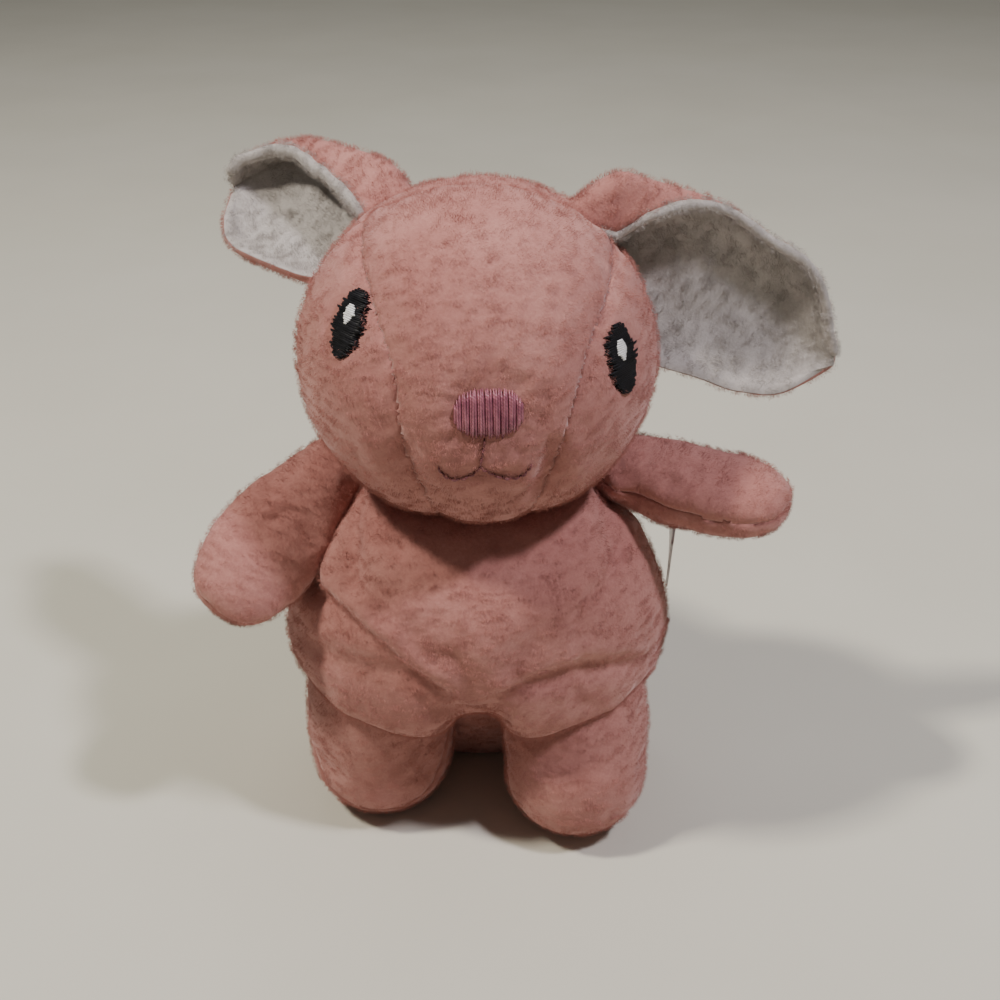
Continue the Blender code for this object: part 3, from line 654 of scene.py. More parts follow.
def pile_group():
    """Tufts of short hairs over a mesh where its pile attribute allows, combed one way with swirls."""
    tree = bpy.data.node_groups.new("short_pile", "GeometryNodeTree")
    tree.interface.new_socket("Geometry", in_out="INPUT", socket_type="NodeSocketGeometry")
    for name, kind in PILE_INPUTS.items():
        tree.interface.new_socket(name, in_out="INPUT", socket_type="NodeSocket" + kind)
    tree.interface.new_socket("Geometry", in_out="OUTPUT", socket_type="NodeSocketGeometry")
    given = tree.nodes.new("NodeGroupInput").outputs
    result = tree.nodes.new("NodeGroupOutput")

    allowed = node(tree, "GeometryNodeInputNamedAttribute", data_type="FLOAT", Name="pile")
    density = calculated(tree, "MULTIPLY", given["Density"], allowed.outputs["Attribute"])
    spread = node(tree, "GeometryNodeDistributePointsOnFaces", ("Mesh", given["Geometry"]),
                  ("Density", density), ("Seed", given["Seed"]), distribute_method="RANDOM")
    place = node(tree, "GeometryNodeInputPosition").outputs[0]
    swirl = node(tree, "ShaderNodeTexNoise", ("Vector", place), Scale=SWIRL_SCALE, Detail=1.0)
    centred = node(tree, "ShaderNodeVectorMath", swirl.outputs["Color"], operation="SUBTRACT")
    centred.inputs[1].default_value = (0.5, 0.5, 0.5)
    swirled = node(tree, "ShaderNodeVectorMath", centred.outputs[0], operation="SCALE", Scale=SWIRL_SHARE)
    combed = vector_sum(tree, given["Comb"], swirled.outputs[0])
    leaning = node(tree, "ShaderNodeVectorMath", combed, ("Scale", given["Lean"]), operation="SCALE")
    direction = vector_sum(tree, spread.outputs["Normal"], leaning.outputs[0])
    jittered = vector_sum(tree, direction, random_vector(tree, (-TUFT_JITTER,) * 3, (TUFT_JITTER,) * 3))
    turned = random_vector(tree, (0, 0, 0), (0, 0, FULL_TURN))
    aligned = node(tree, "FunctionNodeAlignRotationToVector", ("Rotation", turned),
                   ("Vector", jittered), axis="Z")
    placed = node(tree, "GeometryNodeInstanceOnPoints", ("Points", spread.outputs["Points"]),
                  ("Instance", tuft_nodes(tree, given)), ("Rotation", aligned.outputs[0]))
    joined = tree.nodes.new("GeometryNodeJoinGeometry")
    for geometry in (placed.outputs[0], given["Geometry"]):
        tree.links.new(geometry, joined.inputs[0])
    tree.links.new(joined.outputs[0], result.inputs[0])
    return tree


PILE = pile_group()
PILE_SOCKETS = {item.name: item.identifier for item in PILE.interface.items_tree if item.in_out == "INPUT"}


def add_pile(piece, finish, comb=(0, 0, -1), length=PILE_LENGTH, lean=0.5, seed=1, density=1.0):
    hairs = piece.modifiers.new("pile", "NODES")
    hairs.node_group = PILE
    thinner = 1.0
    hairs[PILE_SOCKETS["Density"]] = PILE_DENSITY / TUFT_HAIRS * density * thinner
    hairs[PILE_SOCKETS["Length"]] = length
    hairs[PILE_SOCKETS["Lean"]] = lean
    hairs[PILE_SOCKETS["Comb"]] = comb
    hairs[PILE_SOCKETS["Hair"]] = finish
    hairs[PILE_SOCKETS["Seed"]] = seed


def set_pile(mesh, values):
    attribute = mesh.attributes.get("pile") or mesh.attributes.new("pile", "FLOAT", "POINT")
    attribute.data.foreach_set("value", values.astype(np.float32))


# ---------------------------------------------------------------- panels
def split_panels(piece, panels, finish, look_up=lambda points: points):
    """Cut a finished member along its seams: each face goes to the nearest CAD panel's own piece."""
    labels = seam_map(look_up(face_centres(piece.data)), [cad_tree(panel) for panel in panels])[0]
    made = []
    for label, panel_name in enumerate(panels):
        part = bmesh.new()
        part.from_mesh(piece.data)
        unwanted = [face for face in part.faces if labels[face.index] != label]
        bmesh.ops.delete(part, geom=unwanted, context="FACES")
        mesh = mesh_from(part, panel_name + "_fabric")
        dressed(mesh, finish)
        panel = new_object(panel_name + "_fabric", mesh)
        stands_for(panel_name)
        made.append(panel)
    bpy.data.objects.remove(piece)
    return made


def face_centres(mesh):
    flat = np.empty(len(mesh.polygons) * 3, np.float32)
    mesh.polygons.foreach_get("center", flat)
    return flat.reshape(-1, 3).astype(float)


def thickened(panel, thickness=0.8 * MM):
    solid = panel.modifiers.new("fabric", "SOLIDIFY")
    solid.thickness = thickness
    solid.offset = -1.0


def filling_of(piece, name, node_name):
    """The fibre inside a member: its surface, drawn in under the fabric."""
    mesh = piece.data.copy()
    mesh.name = name
    inside = new_object(name, mesh)
    lumps = ripple(points_of(mesh), 5 * MM, 11) * 0.4 * MM
    push_out(mesh, -(FILL_DEPTH + lumps))
    relax(mesh, 3)
    dressed(mesh, finishes["fibre"])
    stands_for(node_name)
    return inside


# ---------------------------------------------------------------- head
NOSE = middle("nose_embroidery")
NOSE_HALF = (half_size("nose_embroidery").x, half_size("nose_embroidery").z)
MOUTH_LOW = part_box("mouth_stroke_left")[0].z
EYES = ("eye_left", "eye_right")
HEAD_CENTRE = Vector(((HEAD_LOW.x + HEAD_HIGH.x) / 2, (HEAD_LOW.y + HEAD_HIGH.y) / 2,
                      HEAD_HIGH.z - (HEAD_HIGH.x - HEAD_LOW.x) / 2))
HEAD_RADII = (HEAD_HIGH - HEAD_LOW) / 2
HEAD_RADII.z = HEAD_RADII.x


def seam_bow(points):
    """Where to look a head seam up: sewn, it bows in beside the right eye and out above the left one."""
    looked = points.copy()
    right = bell(points[:, 2] - middle("eye_right").z + 4 * MM, 9 * MM) * (points[:, 0] < 0)
    left = np.clip((points[:, 2] - middle("eye_left").z - 3 * MM) / (9 * MM), 0, 1) * (points[:, 0] > 0)
    looked[:, 0] -= (right + left) * 2.6 * MM * (points[:, 1] < BACK_SEAM_Y)
    return looked


def muzzle_folds():
    """Soft folds that run down beside the mouth, deeper on the left."""
    left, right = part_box("mouth_stroke_left")[1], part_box("mouth_stroke_right")[0]
    down = (9.0, 4.5, 0.5, -3.5, -8.0)
    out_left, out_right = (3.2, 3.4, 3.0, 1.8, -0.8), (-5.0, -5.4, -4.8, -2.6, 0.5)
    folds = []
    for corner, out in ((left, out_left), (right, out_right)):
        folds.append(smooth_polyline([(corner.x / MM + x, MOUTH_LOW / MM + z) for x, z in zip(out, down)]))
    return folds


def build_head():
    piece = remeshed("head", wrapped(HEAD_PANELS + ("head_stuffing",), 72, 50))
    mesh = piece.data
    trees = [cad_tree(name) for name in HEAD_PANELS]
    left, right = muzzle_folds()
    crease(mesh, left, 1.7 * MM, 1.9 * MM, fade=0.3)
    crease(mesh, right, 0.8 * MM, 2.2 * MM, fade=0.3)
    points = points_of(mesh)
    pins = bell(seam_map(seam_bow(points), trees)[1], 1.6 * MM)
    for name, reach in (("nose_embroidery", 6 * MM), ("eye_left", 4 * MM), ("eye_right", 4 * MM)):
        away = np.linalg.norm(points - np.array(middle(name)), axis=1)
        pins = np.maximum(pins, bell(away, reach))
    puffed(piece, pins, 0.02, 0.9 * MM)
    subdivided(piece)
    mesh = piece.data
    seam = seam_map(seam_bow(points_of(mesh)), trees)[1]
    stitched_groove(mesh, seam, "head", 3)
    muzzle_puckers(mesh)
    push_out(mesh, ripple(points_of(mesh), 16 * MM, 2) * 0.35 * MM)
    return piece


def muzzle_puckers(mesh):
    """The dense stitching of nose and mouth draws the fabric into small wrinkles round it."""
    points, normals = points_of(mesh), normals_of(mesh)
    centre = np.array((NOSE.x, NOSE.z))
    offset = points[:, [0, 2]] - centre
    distance = np.linalg.norm(offset, axis=1)
    angle = np.arctan2(offset[:, 1], offset[:, 0])
    facing = np.clip(-normals[:, 1] * 2 - 0.6, 0, 1)
    ring = bell(distance - 7.5 * MM, 3.2 * MM)
    rays = np.sin(angle * 15 + ripple(points, 3 * MM, 8) * 3)
    below = np.clip((NOSE.z - points[:, 2]) / (7 * MM), 0, 1) * bell(distance - 9 * MM, 6 * MM)
    fine = ripple(points * np.array((1, 1, 0.55)), 1.3 * MM, 9)
    mouth_dent = bell(points[:, 2] - MOUTH_LOW - 1.6 * MM, 1.3 * MM)
    mouth_dent *= bell(points[:, 0] - NOSE.x, 7 * MM)
    dent = np.exp(-(np.abs(offset[:, 0]) / (6.2 * MM)) ** 4 - (np.abs(offset[:, 1]) / (5.0 * MM)) ** 4)
    move = ring * rays * 0.16 * MM + below * fine * 0.42 * MM - mouth_dent * 0.5 * MM - dent * 0.5 * MM
    push_out(mesh, move * facing)


# ---------------------------------------------------------------- body
def on_front(*corners):
    """A curve on the body's front: shares of its half width, and millimetres above the legs' tops."""
    return smooth_polyline([(x * HALF_WIDTH / MM, LEG_TOP / MM + z) for x, z in corners])


def beside_arm(side, *corners):
    """A curve near an arm's root, in millimetres inward and up from its pivot."""
    root = pivot("arm_%s_swing" % side)
    sign = 1 if root.x > 0 else -1
    return smooth_polyline([(root.x / MM - sign * inward, root.z / MM + up) for inward, up in corners])


BELLY_FOLDS = (
    # curve, depth, width, overhang: the belly hangs a little over each side of its V
    (on_front((-0.98, 19.5), (-0.78, 17.5), (-0.53, 13.5), (-0.3, 7.0), (-0.08, 0.0)), 1.8, 2.0, 0.7),
    (on_front((0.08, 1.0), (0.24, 4.5), (0.5, 6.0), (0.72, 4.0), (0.95, -1.5)), 1.3, 1.9, 0.4),
    (on_front((0.12, 7.0), (0.2, 11.5), (0.36, 15.0), (0.62, 17.0)), 0.5, 4.0, 0.7),
    (on_front((-0.98, 8.0), (-0.7, 6.5), (-0.45, 7.0), (-0.24, 4.5)), 0.7, 1.8, 0.0),
)
HAUNCH_SWELL = 9.0 * MM         # the most that the haunches are padded out to meet the thighs
HAUNCH_DEPTH = 1.3 * MM         # the haunches lie this far behind the belly
HAUNCH_DROP = 4.0 * MM          # the height over which the front steps back to them
ARM_FOLDS = (
    ("right", ((5.5, 1.5), (4.8, -4.0), (4.6, -9.0), (5.8, -14.0)), 2.0, 2.6),
    ("right", ((7.5, 0.0), (11.5, -3.5), (15.5, -4.5)), 0.8, 1.5),
    ("left", ((3.5, 0.0), (2.0, -5.5), (0.0, -11.0)), 1.5, 2.6),
)


def build_body():
    piece = remeshed("body", build_body_mesh())
    mesh = piece.data
    trees = [cad_tree(name) for name in BODY_PANELS]
    for line, depth, width, over in BELLY_FOLDS:
        crease(mesh, line, depth * MM, width * MM, overhang=over * MM)
    for side, corners, depth, width in ARM_FOLDS[::2]:
        crease(mesh, beside_arm(side, *corners), depth * MM, width * MM)
    points = points_of(mesh)
    pins = bell(seam_map(points, trees)[1], 1.6 * MM) * 0.8
    for line, depth, _, _ in BELLY_FOLDS[:2]:
        near = bell(near_line(points[:, [0, 2]], line)[0], 1.7 * MM)
        pins = np.maximum(pins, near * (points[:, 1] < BACK_SEAM_Y))
    pins = np.maximum(pins, (points[:, 2] < 0.6 * MM) * 1.0)
    pins = np.maximum(pins, (points[:, 2] > BODY_HIGH.z) * 1.0)
    puffed(piece, pins, 0.025, 1.2 * MM)
    subdivided(piece)
    mesh = piece.data
    side, corners, depth, width = ARM_FOLDS[1]
    crease(mesh, beside_arm(side, *corners), depth * MM, width * MM)
    stitched_groove(mesh, seam_map(points_of(mesh), trees)[1], "body", 13)
    points = points_of(mesh)
    standing = np.clip(points[:, 2] / (3 * MM), 0, 1)
    broad = ripple(points, 17 * MM, 4) * 0.35 * MM
    broad = broad + ripple(points * np.array((0.6, 1, 1.4)), 6 * MM, 6) * 0.12 * MM
    points = points + normals_of(mesh) * (broad * standing)[:, None]
    points[:, 2] = np.maximum(points[:, 2], 0.0)
    set_points(mesh, points)
    return piece


# ---------------------------------------------------------------- limbs
def longer_arm(side, share):
    """Stuffed cloth stands a little proud of the CAD arm: grown along it from the shoulder."""
    root = pivot("arm_%s_swing" % side)
    tip = middle("arm_%s_stuffing" % side)
    along = (tip - root).normalized()
    return lambda place: place + along * max(0.0, (place - root).dot(along)) * share


def full_thigh(forward, rise):
    """The thigh is padded out forward and up, so that it meets the haunch in a crease and not in a step."""
    def stretch(place):
        share = min(1.0, max(0.0, (place.z - 0.4 * LEG_TOP) / (0.6 * LEG_TOP)))
        return place + Vector((0, -forward * share, rise * share))
    return stretch


def build_limb(name, panels, seed, grounded=False, stretch=None):
    """A stuffed limb with the seam of its two CAD panels round it."""
    piece = remeshed(name, wrapped(panels, 56, 40, stretch), 1.35 * MM)
    trees = [cad_tree(panel) for panel in panels]
    points = points_of(piece.data)
    pins = bell(seam_map(points, trees)[1], 1.5 * MM) * 0.8
    if grounded:
        pins = np.maximum(pins, (points[:, 2] < 0.6 * MM) * 1.0)
    puffed(piece, pins, 0.02, 0.9 * MM)
    subdivided(piece)
    mesh = piece.data
    seam = seam_map(points_of(mesh), trees)[1]
    stitched_groove(mesh, seam, "limb", seed)
    points = points_of(mesh)
    points = points + normals_of(mesh) * (ripple(points, 9 * MM, seed + 1) * 0.35 * MM)[:, None]
    if grounded:
        points[:, 2] = np.maximum(points[:, 2], 0.0)
    set_points(mesh, points)
    return piece


def finish_limb(piece, name, panels, comb, seed):
    """Panels and filling of a limb."""
    inside = filling_of(piece, name + "_filling", name + "_stuffing")
    set_pile(piece.data, np.ones(len(piece.data.vertices)))
    made = split_panels(piece, panels, finishes["pink"])
    for part in made + [inside]:
        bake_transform(part)
    for part in made:
        add_pile(part, finishes["pink_pile"], comb, seed=seed)
        thickened(part)


# ---------------------------------------------------------------- ears
EAR_STYLES = {
    # fold: width of the top edge's fold at the pivot, the length it fades over, its most, and the rim left
    # outline: how far its middle is shifted to the folded edge, there and more at the tip, in mm;
    # its width as a share of the CAD ear's, and how much narrower it gets by the tip
    "left": dict(fold=5.0, fade=7.0, most=12.0, rim=2.0, depth=4.2,
                 shift=0.6, lean=-1.5, width=1.0, narrow=0.30),
    "right": dict(fold=13.0, fade=24.0, most=15.0, rim=3.2, depth=4.6,
                  shift=3.6, lean=4.5, width=0.93, narrow=0.08),
}
EAR_ROLL = 2.1 * MM             # radius of the fold along the top edge
EAR_LAYER = 0.95 * MM
EAR_ACROSS = 44
EAR_ROWS = 60
EAR_SUNK = 3.0 * MM             # how deep the ear's root lies in the head
EAR_TIP = 17.0 * MM             # the stretch over which its end is rounded off
EAR_SEWN = 6.5 * MM             # the stretch of the ear over which it bends in to that root


def ear_axes(side):
    """Pivot, direction along the ear, its open side and its folded edge's side, from the CAD ear."""
    start = pivot("ear_%s_flop" % side)
    back, lining = node_points("ear_%s_back" % side), node_points("ear_%s_lining" % side)
    tip = Vector(back[np.argmax(np.linalg.norm(back - np.array(start), axis=1))])
    along = (tip - start).normalized()
    thin = Vector(np.linalg.svd(back - back.mean(0), full_matrices=False)[2][2])
    opening = (thin - along * thin.dot(along)).normalized()
    if opening.dot(Vector(lining.mean(0) - back.mean(0))) < 0:
        opening = -opening
    up = opening.cross(along)
    return start, along, opening, up if up.z > 0 else -up


def ear_outline(side):
    """Lower and upper edge of the CAD ear at even steps along it, and those steps."""
    start, along, _, up = ear_axes(side)
    mesh = frame["nodes"]["ear_%s_back" % side].data
    ends = points_of(mesh)[edges_of(mesh)]
    along_edges = [ends[:, 0] + (ends[:, 1] - ends[:, 0]) * share for share in (0, 0.2, 0.4, 0.6, 0.8)]
    offset = np.vstack(along_edges) - np.array(start)
    run, rise = offset @ np.array(along), offset @ np.array(up)
    steps = np.linspace(run.min(), run.max() - 0.3 * MM, 31)
    near = [np.abs(run - step) < 1.3 * MM for step in steps]
    top = np.array([rise[chosen].max() for chosen in near])
    low = np.array([rise[chosen].min() for chosen in near])
    lowest, peak = int(np.argmin(low)), int(np.argmax(top))
    low[:lowest] = low[lowest]
    top[:peak] = np.maximum(top[:peak], np.linspace(top[peak] - 6 * MM, top[peak], peak, endpoint=False))
    for _ in range(6):
        top[1:-1] = (top[:-2] + 2 * top[1:-1] + top[2:]) / 4
        low[1:-1] = (low[:-2] + 2 * low[1:-1] + low[2:]) / 4
    style = EAR_STYLES[side]
    share = np.clip(steps / steps[-1], 0, 1)
    centre = (top + low) / 2 + (style["shift"] + style["lean"] * share ** 2) * MM
    half = (top - low) / 2 * style["width"] * (1 - style["narrow"] * share ** 1.5)
    reach = (steps[-1] - steps) / EAR_TIP
    rounding = np.sqrt(1 - np.clip(1 - reach, 0, 1) ** 2)
    top, low = centre + half * rounding, centre - half * rounding
    return steps, low, top


def ear_section(low, top, folded, depth):
    """Points across the ear, lower edge to bowl to fold, as (up, towards the opening)."""
    half = (top - low) / 2
    roll = min(EAR_ROLL, half * 0.45)
    turn = math.radians(12 + 165 * min(1.0, folded / (9 * MM)) ** 0.6)
    crown = top - roll if turn > math.pi / 2 else top - roll * math.sin(turn)
    bowl = depth * min(1.0, half / (12 * MM)) ** 1.5
    path = []
    for index in range(25):
        t = index / 24
        rise = bowl * (1 - (2 * t - 1) ** 2) ** 0.8
        lip = 1.2 * MM * max(0.0, 1 - t / 0.12) ** 2 * min(1.0, half / (8 * MM))
        path.append((low + (crown - low) * t, -rise + lip))
    up, out = path[-1]
    for index in range(1, 13):
        angle = turn * index / 12
        path.append((up + roll * math.sin(angle), out + roll * (1 - math.cos(angle))))
    left_over = max(0.0, folded - roll * turn * 0.6)
    up, out = path[-1]
    for index in range(1, 6):
        step = left_over * index / 5
        path.append((up + math.cos(turn) * step, out + math.sin(turn) * step))
    path = np.array(path)
    lengths = np.concatenate([[0], np.cumsum(np.linalg.norm(np.diff(path, axis=0), axis=1))])
    even = np.linspace(0, lengths[-1], EAR_ACROSS + 1)
    return np.stack([np.interp(even, lengths, path[:, column]) for column in (0, 1)], 1)


def ear_sheet(side):
    """The ear's middle surface as a grid of points, root to tip and lower edge to fold."""
    style = EAR_STYLES[side]
    start, along, opening, up = ear_axes(side)
    steps, lows, tops = ear_outline(side)
    span = steps[-1] - steps[0]
    grid = []
    for index in range(EAR_ROWS):
        share = 1 - (1 - index / (EAR_ROWS - 1)) ** 1.35
        run = steps[0] + span * share
        low, top = float(np.interp(run, steps, lows)), float(np.interp(run, steps, tops))
        to_tip = max(0.0, (share - 0.8) / 0.2)
        rim = style["rim"] * MM * math.sqrt(max(0.0, 1 - to_tip ** 2))
        folded = rim + (style["fold"] - style["rim"]) * MM * math.exp(-run / (style["fade"] * MM))
        section = ear_section(low, top, min(folded, style["most"] * MM), style["depth"] * MM)
        droop = 1.6 * MM * share ** 2
        grid.append([list(start + along * run + up * a + opening * (b - droop)) for a, b in section])
    return sewn_on(np.array(grid), span * (1 - (1 - np.linspace(0, 1, EAR_ROWS)) ** 1.35))


def sewn_on(grid, runs):
    """Bend the root end of the ear's sheet in until it lies under the head's surface."""
    centre, radii = np.array(HEAD_CENTRE), np.array(HEAD_RADII)
    outward = (grid - centre) / radii
    size = np.linalg.norm(outward, axis=2, keepdims=True)
    sunk = centre + (grid - centre) / size * (1 - EAR_SUNK / radii.mean())
    pull = np.clip(1 - runs / EAR_SEWN, 0, 1)
    pull = (pull * pull * (3 - 2 * pull))[:, None, None]
    return grid * (1 - pull) + np.where(size > 1 - EAR_SUNK / radii.mean(), sunk, grid) * pull


def grid_normals(grid):
    down = np.gradient(grid, axis=0)
    across = np.gradient(grid, axis=1)
    normal = np.cross(down, across)
    return normal / np.maximum(np.linalg.norm(normal, axis=2, keepdims=True), 1e-12)


def layer_mesh(name, grid, normals, thickness, inner=0.03 * MM):
    """A closed sheet of fabric on one side of the grid, rounded off at its rim."""
    rows, columns = grid.shape[:2]
    i = np.arange(rows)[:, None] / (rows - 1)
    j = np.arange(columns)[None, :] / (columns - 1)
    rim = np.minimum(np.minimum(j, 1 - j) * columns / 3.0, (1 - i) * rows / 4.0)
    rounding = np.sqrt(np.clip(1 - (1 - np.clip(rim, 0, 1)) ** 2, 0, 1))
    outer = grid + normals * (inner + thickness * rounding)[..., None]
    back = grid + normals * (inner * rounding)[..., None]
    made = bmesh.new()
    faces = [[made.verts.new(point) for point in line] for line in outer]
    backs = [[made.verts.new(point) for point in line] for line in back]
    for a in range(rows - 1):
        for b in range(columns - 1):
            made.faces.new((faces[a][b], faces[a + 1][b], faces[a + 1][b + 1], faces[a][b + 1]))
            made.faces.new((backs[a][b], backs[a][b + 1], backs[a + 1][b + 1], backs[a + 1][b]))
    border = [(a, 0) for a in range(rows)] + [(rows - 1, b) for b in range(1, columns)]
    border += [(a, columns - 1) for a in range(rows - 2, -1, -1)]
    border += [(0, b) for b in range(columns - 2, 0, -1)]
    for (a, b), (c, d) in zip(border, border[1:] + border[:1]):
        made.faces.new((faces[a][b], faces[c][d], backs[c][d], backs[a][b]))
    bmesh.ops.remove_doubles(made, verts=made.verts, dist=0.004 * MM)
    bmesh.ops.recalc_face_normals(made, faces=made.faces)
    return mesh_from(made, name)


def edge_bead(mesh, line, radius):
    """Add a soft, uneven bead along the fold's free edge, where the lining turns out."""
    made = bmesh.new()
    made.from_mesh(mesh)
    before = len(made.verts)
    strand(made, [Vector(point) for point in line], radius, 10, 0.4)
    made.verts.ensure_lookup_table()
    for vertex in made.verts[before:]:
        place = vertex.co / (3 * MM)
        shake = Vector([noise.noise(place + Vector((shift, 0, 0))) for shift in (0, 31, 67)])
        vertex.co += shake * radius * 0.35
    made.to_mesh(mesh)
    made.free()


def build_ear(side):
    grid = ear_sheet(side)
    normals = grid_normals(grid)
    base, along, opening, _ = ear_axes(side)
    if normals[len(grid) // 2, EAR_ACROSS // 3] @ np.array(opening) < 0:
        normals = -normals
    flat = grid.reshape(-1, 3)
    wave = ripple(flat, 11 * MM, 21) * 0.7 * MM + ripple(flat, 4.5 * MM, 23) * 0.22 * MM
    grid = grid + normals * wave.reshape(grid.shape[:2])[..., None]
    rows, columns = grid.shape[:2]
    quads = [(a * columns + b, (a + 1) * columns + b, (a + 1) * columns + b + 1, a * columns + b + 1)
             for a in range(rows - 1) for b in range(columns - 1)]
    sheet_tree = BVHTree.FromPolygons([tuple(point) for point in grid.reshape(-1, 3)], quads)
    for layer, direction, finish in (("back", -1, "pink"), ("lining", 1, "cream")):
        name = "ear_%s_%s" % (side, layer)
        mesh = layer_mesh(name + "_fabric", grid, normals * direction, EAR_LAYER)
        piece = new_object(name + "_fabric", mesh)
        subdivided(piece)
        mesh = piece.data
        away = np.array([sheet_tree.find_nearest(Vector(point))[3] for point in points_of(mesh)])
        pile = np.clip((away - 0.25 * MM) / (0.3 * MM), 0, 1)
        if layer == "lining":
            edge = grid[4:-3, -1] + normals[4:-3, -1] * 0.1 * MM
            before = len(mesh.vertices)
            edge_bead(mesh, edge, 1.15 * MM if side == "right" else 0.9 * MM)
            pile = np.concatenate([pile, np.ones(len(mesh.vertices) - before) * 1.3])
        dressed(mesh, finishes[finish])
        set_pile(mesh, pile)
        stands_for(name)
        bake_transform(piece)
        comb = tuple(along * 0.8 + Vector((0, 0, -0.3)))
        add_pile(piece, finishes[finish + "_pile"], comb, length=0.85 * MM, lean=0.45, seed=31, density=1.3)


# ---------------------------------------------------------------- embroidery
def strand(made, points, radius, sides=6, taper=0.35):
    """One thread: a round tube through the points that narrows at its two ends."""
    rings = []
    last = len(points) - 1
    for index, point in enumerate(points):
        before, after = points[max(index - 1, 0)], points[min(index + 1, last)]
        axis = (after - before).normalized()
        across = axis.orthogonal().normalized()
        other = axis.cross(across)
        size = radius * (taper if index in (0, last) else 1.0)
        ring = []
        for side in range(sides):
            angle = 2 * math.pi * side / sides
            ring.append(made.verts.new(point + (across * math.cos(angle) + other * math.sin(angle)) * size))
        rings.append(ring)
    for first, second in zip(rings, rings[1:]):
        gap = [(first[0].co - vertex.co).length for vertex in second]
        shift = gap.index(min(gap))
        for side in range(sides):
            a, b = first[side], first[(side + 1) % sides]
            c, d = second[(side + 1 + shift) % sides], second[(side + shift) % sides]
            made.faces.new((a, b, c, d))
    made.faces.new(list(reversed(rings[0])))
    made.faces.new(rings[-1])


def close_threads(made, name, finish, node_name):
    bmesh.ops.recalc_face_normals(made, faces=made.faces)
    mesh = mesh_from(made, name)
    dressed(mesh, finish)
    piece = new_object(name, mesh)
    stands_for(node_name)
    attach(piece, "head")
    return piece


def onto_head(tree, centre, across, up, a, b, lift):
    """The point of the head's surface under (a, b) of a patch, raised by lift."""
    outward = (centre - HEAD_CENTRE).normalized()
    start = centre + across * a + up * b + outward * 12 * MM
    place = tree.ray_cast(start, -outward)[0] or tree.find_nearest(start)[0]
    return place + outward * lift


def patch_axes(centre, tilt=0.0):
    outward = (centre - HEAD_CENTRE).normalized()
    across = Vector((0, 0, 1)).cross(outward).normalized() * -1
    across = across if across.x > 0 else -across
    up = outward.cross(across)
    up = up if up.z > 0 else -up
    turn = math.radians(tilt)
    return across * math.cos(turn) - up * math.sin(turn), up * math.cos(turn) + across * math.sin(turn)


def satin_field(tree, centre, half, outline, rows, tilt, thread_radius, lift, dome, seed,
                vertical=False, ragged=0.1):
    """Close parallel threads that fill an outline, arched a little over their padding."""
    made = bmesh.new()
    across, up = patch_axes(centre, tilt)
    for row in range(rows):
        at = -1 + 2 * (row + 0.5) / rows
        reach = outline(at)
        if reach < 0.08:
            continue
        wobble = noise.noise(Vector((row * 1.7, seed, 0.3)))
        other = noise.noise(Vector((seed, row * 2.3, 4.1)))
        low, high = -reach * (1 + ragged * wobble * 2), reach * (1 + ragged * other * 2)
        slant = 0.05 * noise.noise(Vector((row * 0.9, 3.3, seed)))
        points = []
        for step in range(9):
            t = step / 8
            run = low + (high - low) * t
            arch = dome * math.sqrt(max(0.0, 1 - (2 * t - 1) ** 2)) * math.sqrt(max(0.1, 1 - at * at))
            first, second = (at + slant * run, run) if vertical else (run, at + slant * run)
            sink = 0.35 * MM if step in (0, 8) else 0.0
            at_patch = (first * half[0], second * half[1])
            points.append(onto_head(tree, centre, across, up, *at_patch, lift + arch - sink))
        strand(made, points, thread_radius)
    return made


def oval(at):
    return math.sqrt(max(0.0, 1 - abs(at) ** 2.1))


def lean_of(name):
    """Degrees that a patch's long axis leans to +X in the head's surface, from its CAD piece."""
    points = node_points(name)
    axis = Vector(np.linalg.svd(points - points.mean(0), full_matrices=False)[2][0])
    axis = axis if axis.z > 0 else -axis
    across, up = patch_axes(middle(name))
    return math.degrees(math.atan2(axis.dot(across), axis.dot(up)))


def patch_half(name, wider=1.0):
    """Half width and half length of a patch in its own plane, from its CAD piece."""
    points = node_points(name)
    points = points - points.mean(0)
    long_axis, wide_axis, _ = np.linalg.svd(points, full_matrices=False)[2]
    return np.ptp(points @ wide_axis) / 2 * wider, np.ptp(points @ long_axis) / 2


def glint_side(at):
    """Highlight: a short drop, broad at its top."""
    return max(0.0, 1 - abs(at - 0.35) ** 1.5 * 1.1) if at > -1 else 0.0


def nose_side(at):
    return (1 - abs(at) ** 2.6) ** (1 / 2.6) * 0.98


def build_face(head):
    tree = tree_of(head)
    for seed, name in enumerate(EYES):
        centre, lean, half = middle(name), lean_of(name), patch_half(name, 1.15)
        made = satin_field(tree, centre, half, oval, 36, lean, 0.23 * MM, 0.30 * MM, 0.35 * MM,
                           5 + seed * 3, ragged=0.2)
        close_threads(made, name + "_stitches", finishes["black"], name)
        glint = name + "_glint"
        half = patch_half(glint)
        made = satin_field(tree, middle(glint), half, glint_side, 13, lean_of(glint), 0.2 * MM, 0.8 * MM,
                           0.15 * MM, 25 + seed * 3, ragged=0.25)
        close_threads(made, name + "_highlight_stitches", finishes["white"], glint)
    made = satin_field(tree, NOSE, NOSE_HALF, nose_side, 27, 0.0, 0.23 * MM, 0.35 * MM, 0.5 * MM, 14,
                       vertical=True, ragged=0.05)
    for vertex in made.verts:
        offset = (vertex.co.x - NOSE.x) / (NOSE_HALF[0] * 2 / 9)
        vertex.co.y -= (abs(math.sin(math.pi * (offset + 0.5))) - 0.5) * 0.45 * MM
    close_threads(made, "nose_stitches", finishes["rose"], "nose_embroidery")
    build_mouth(tree)


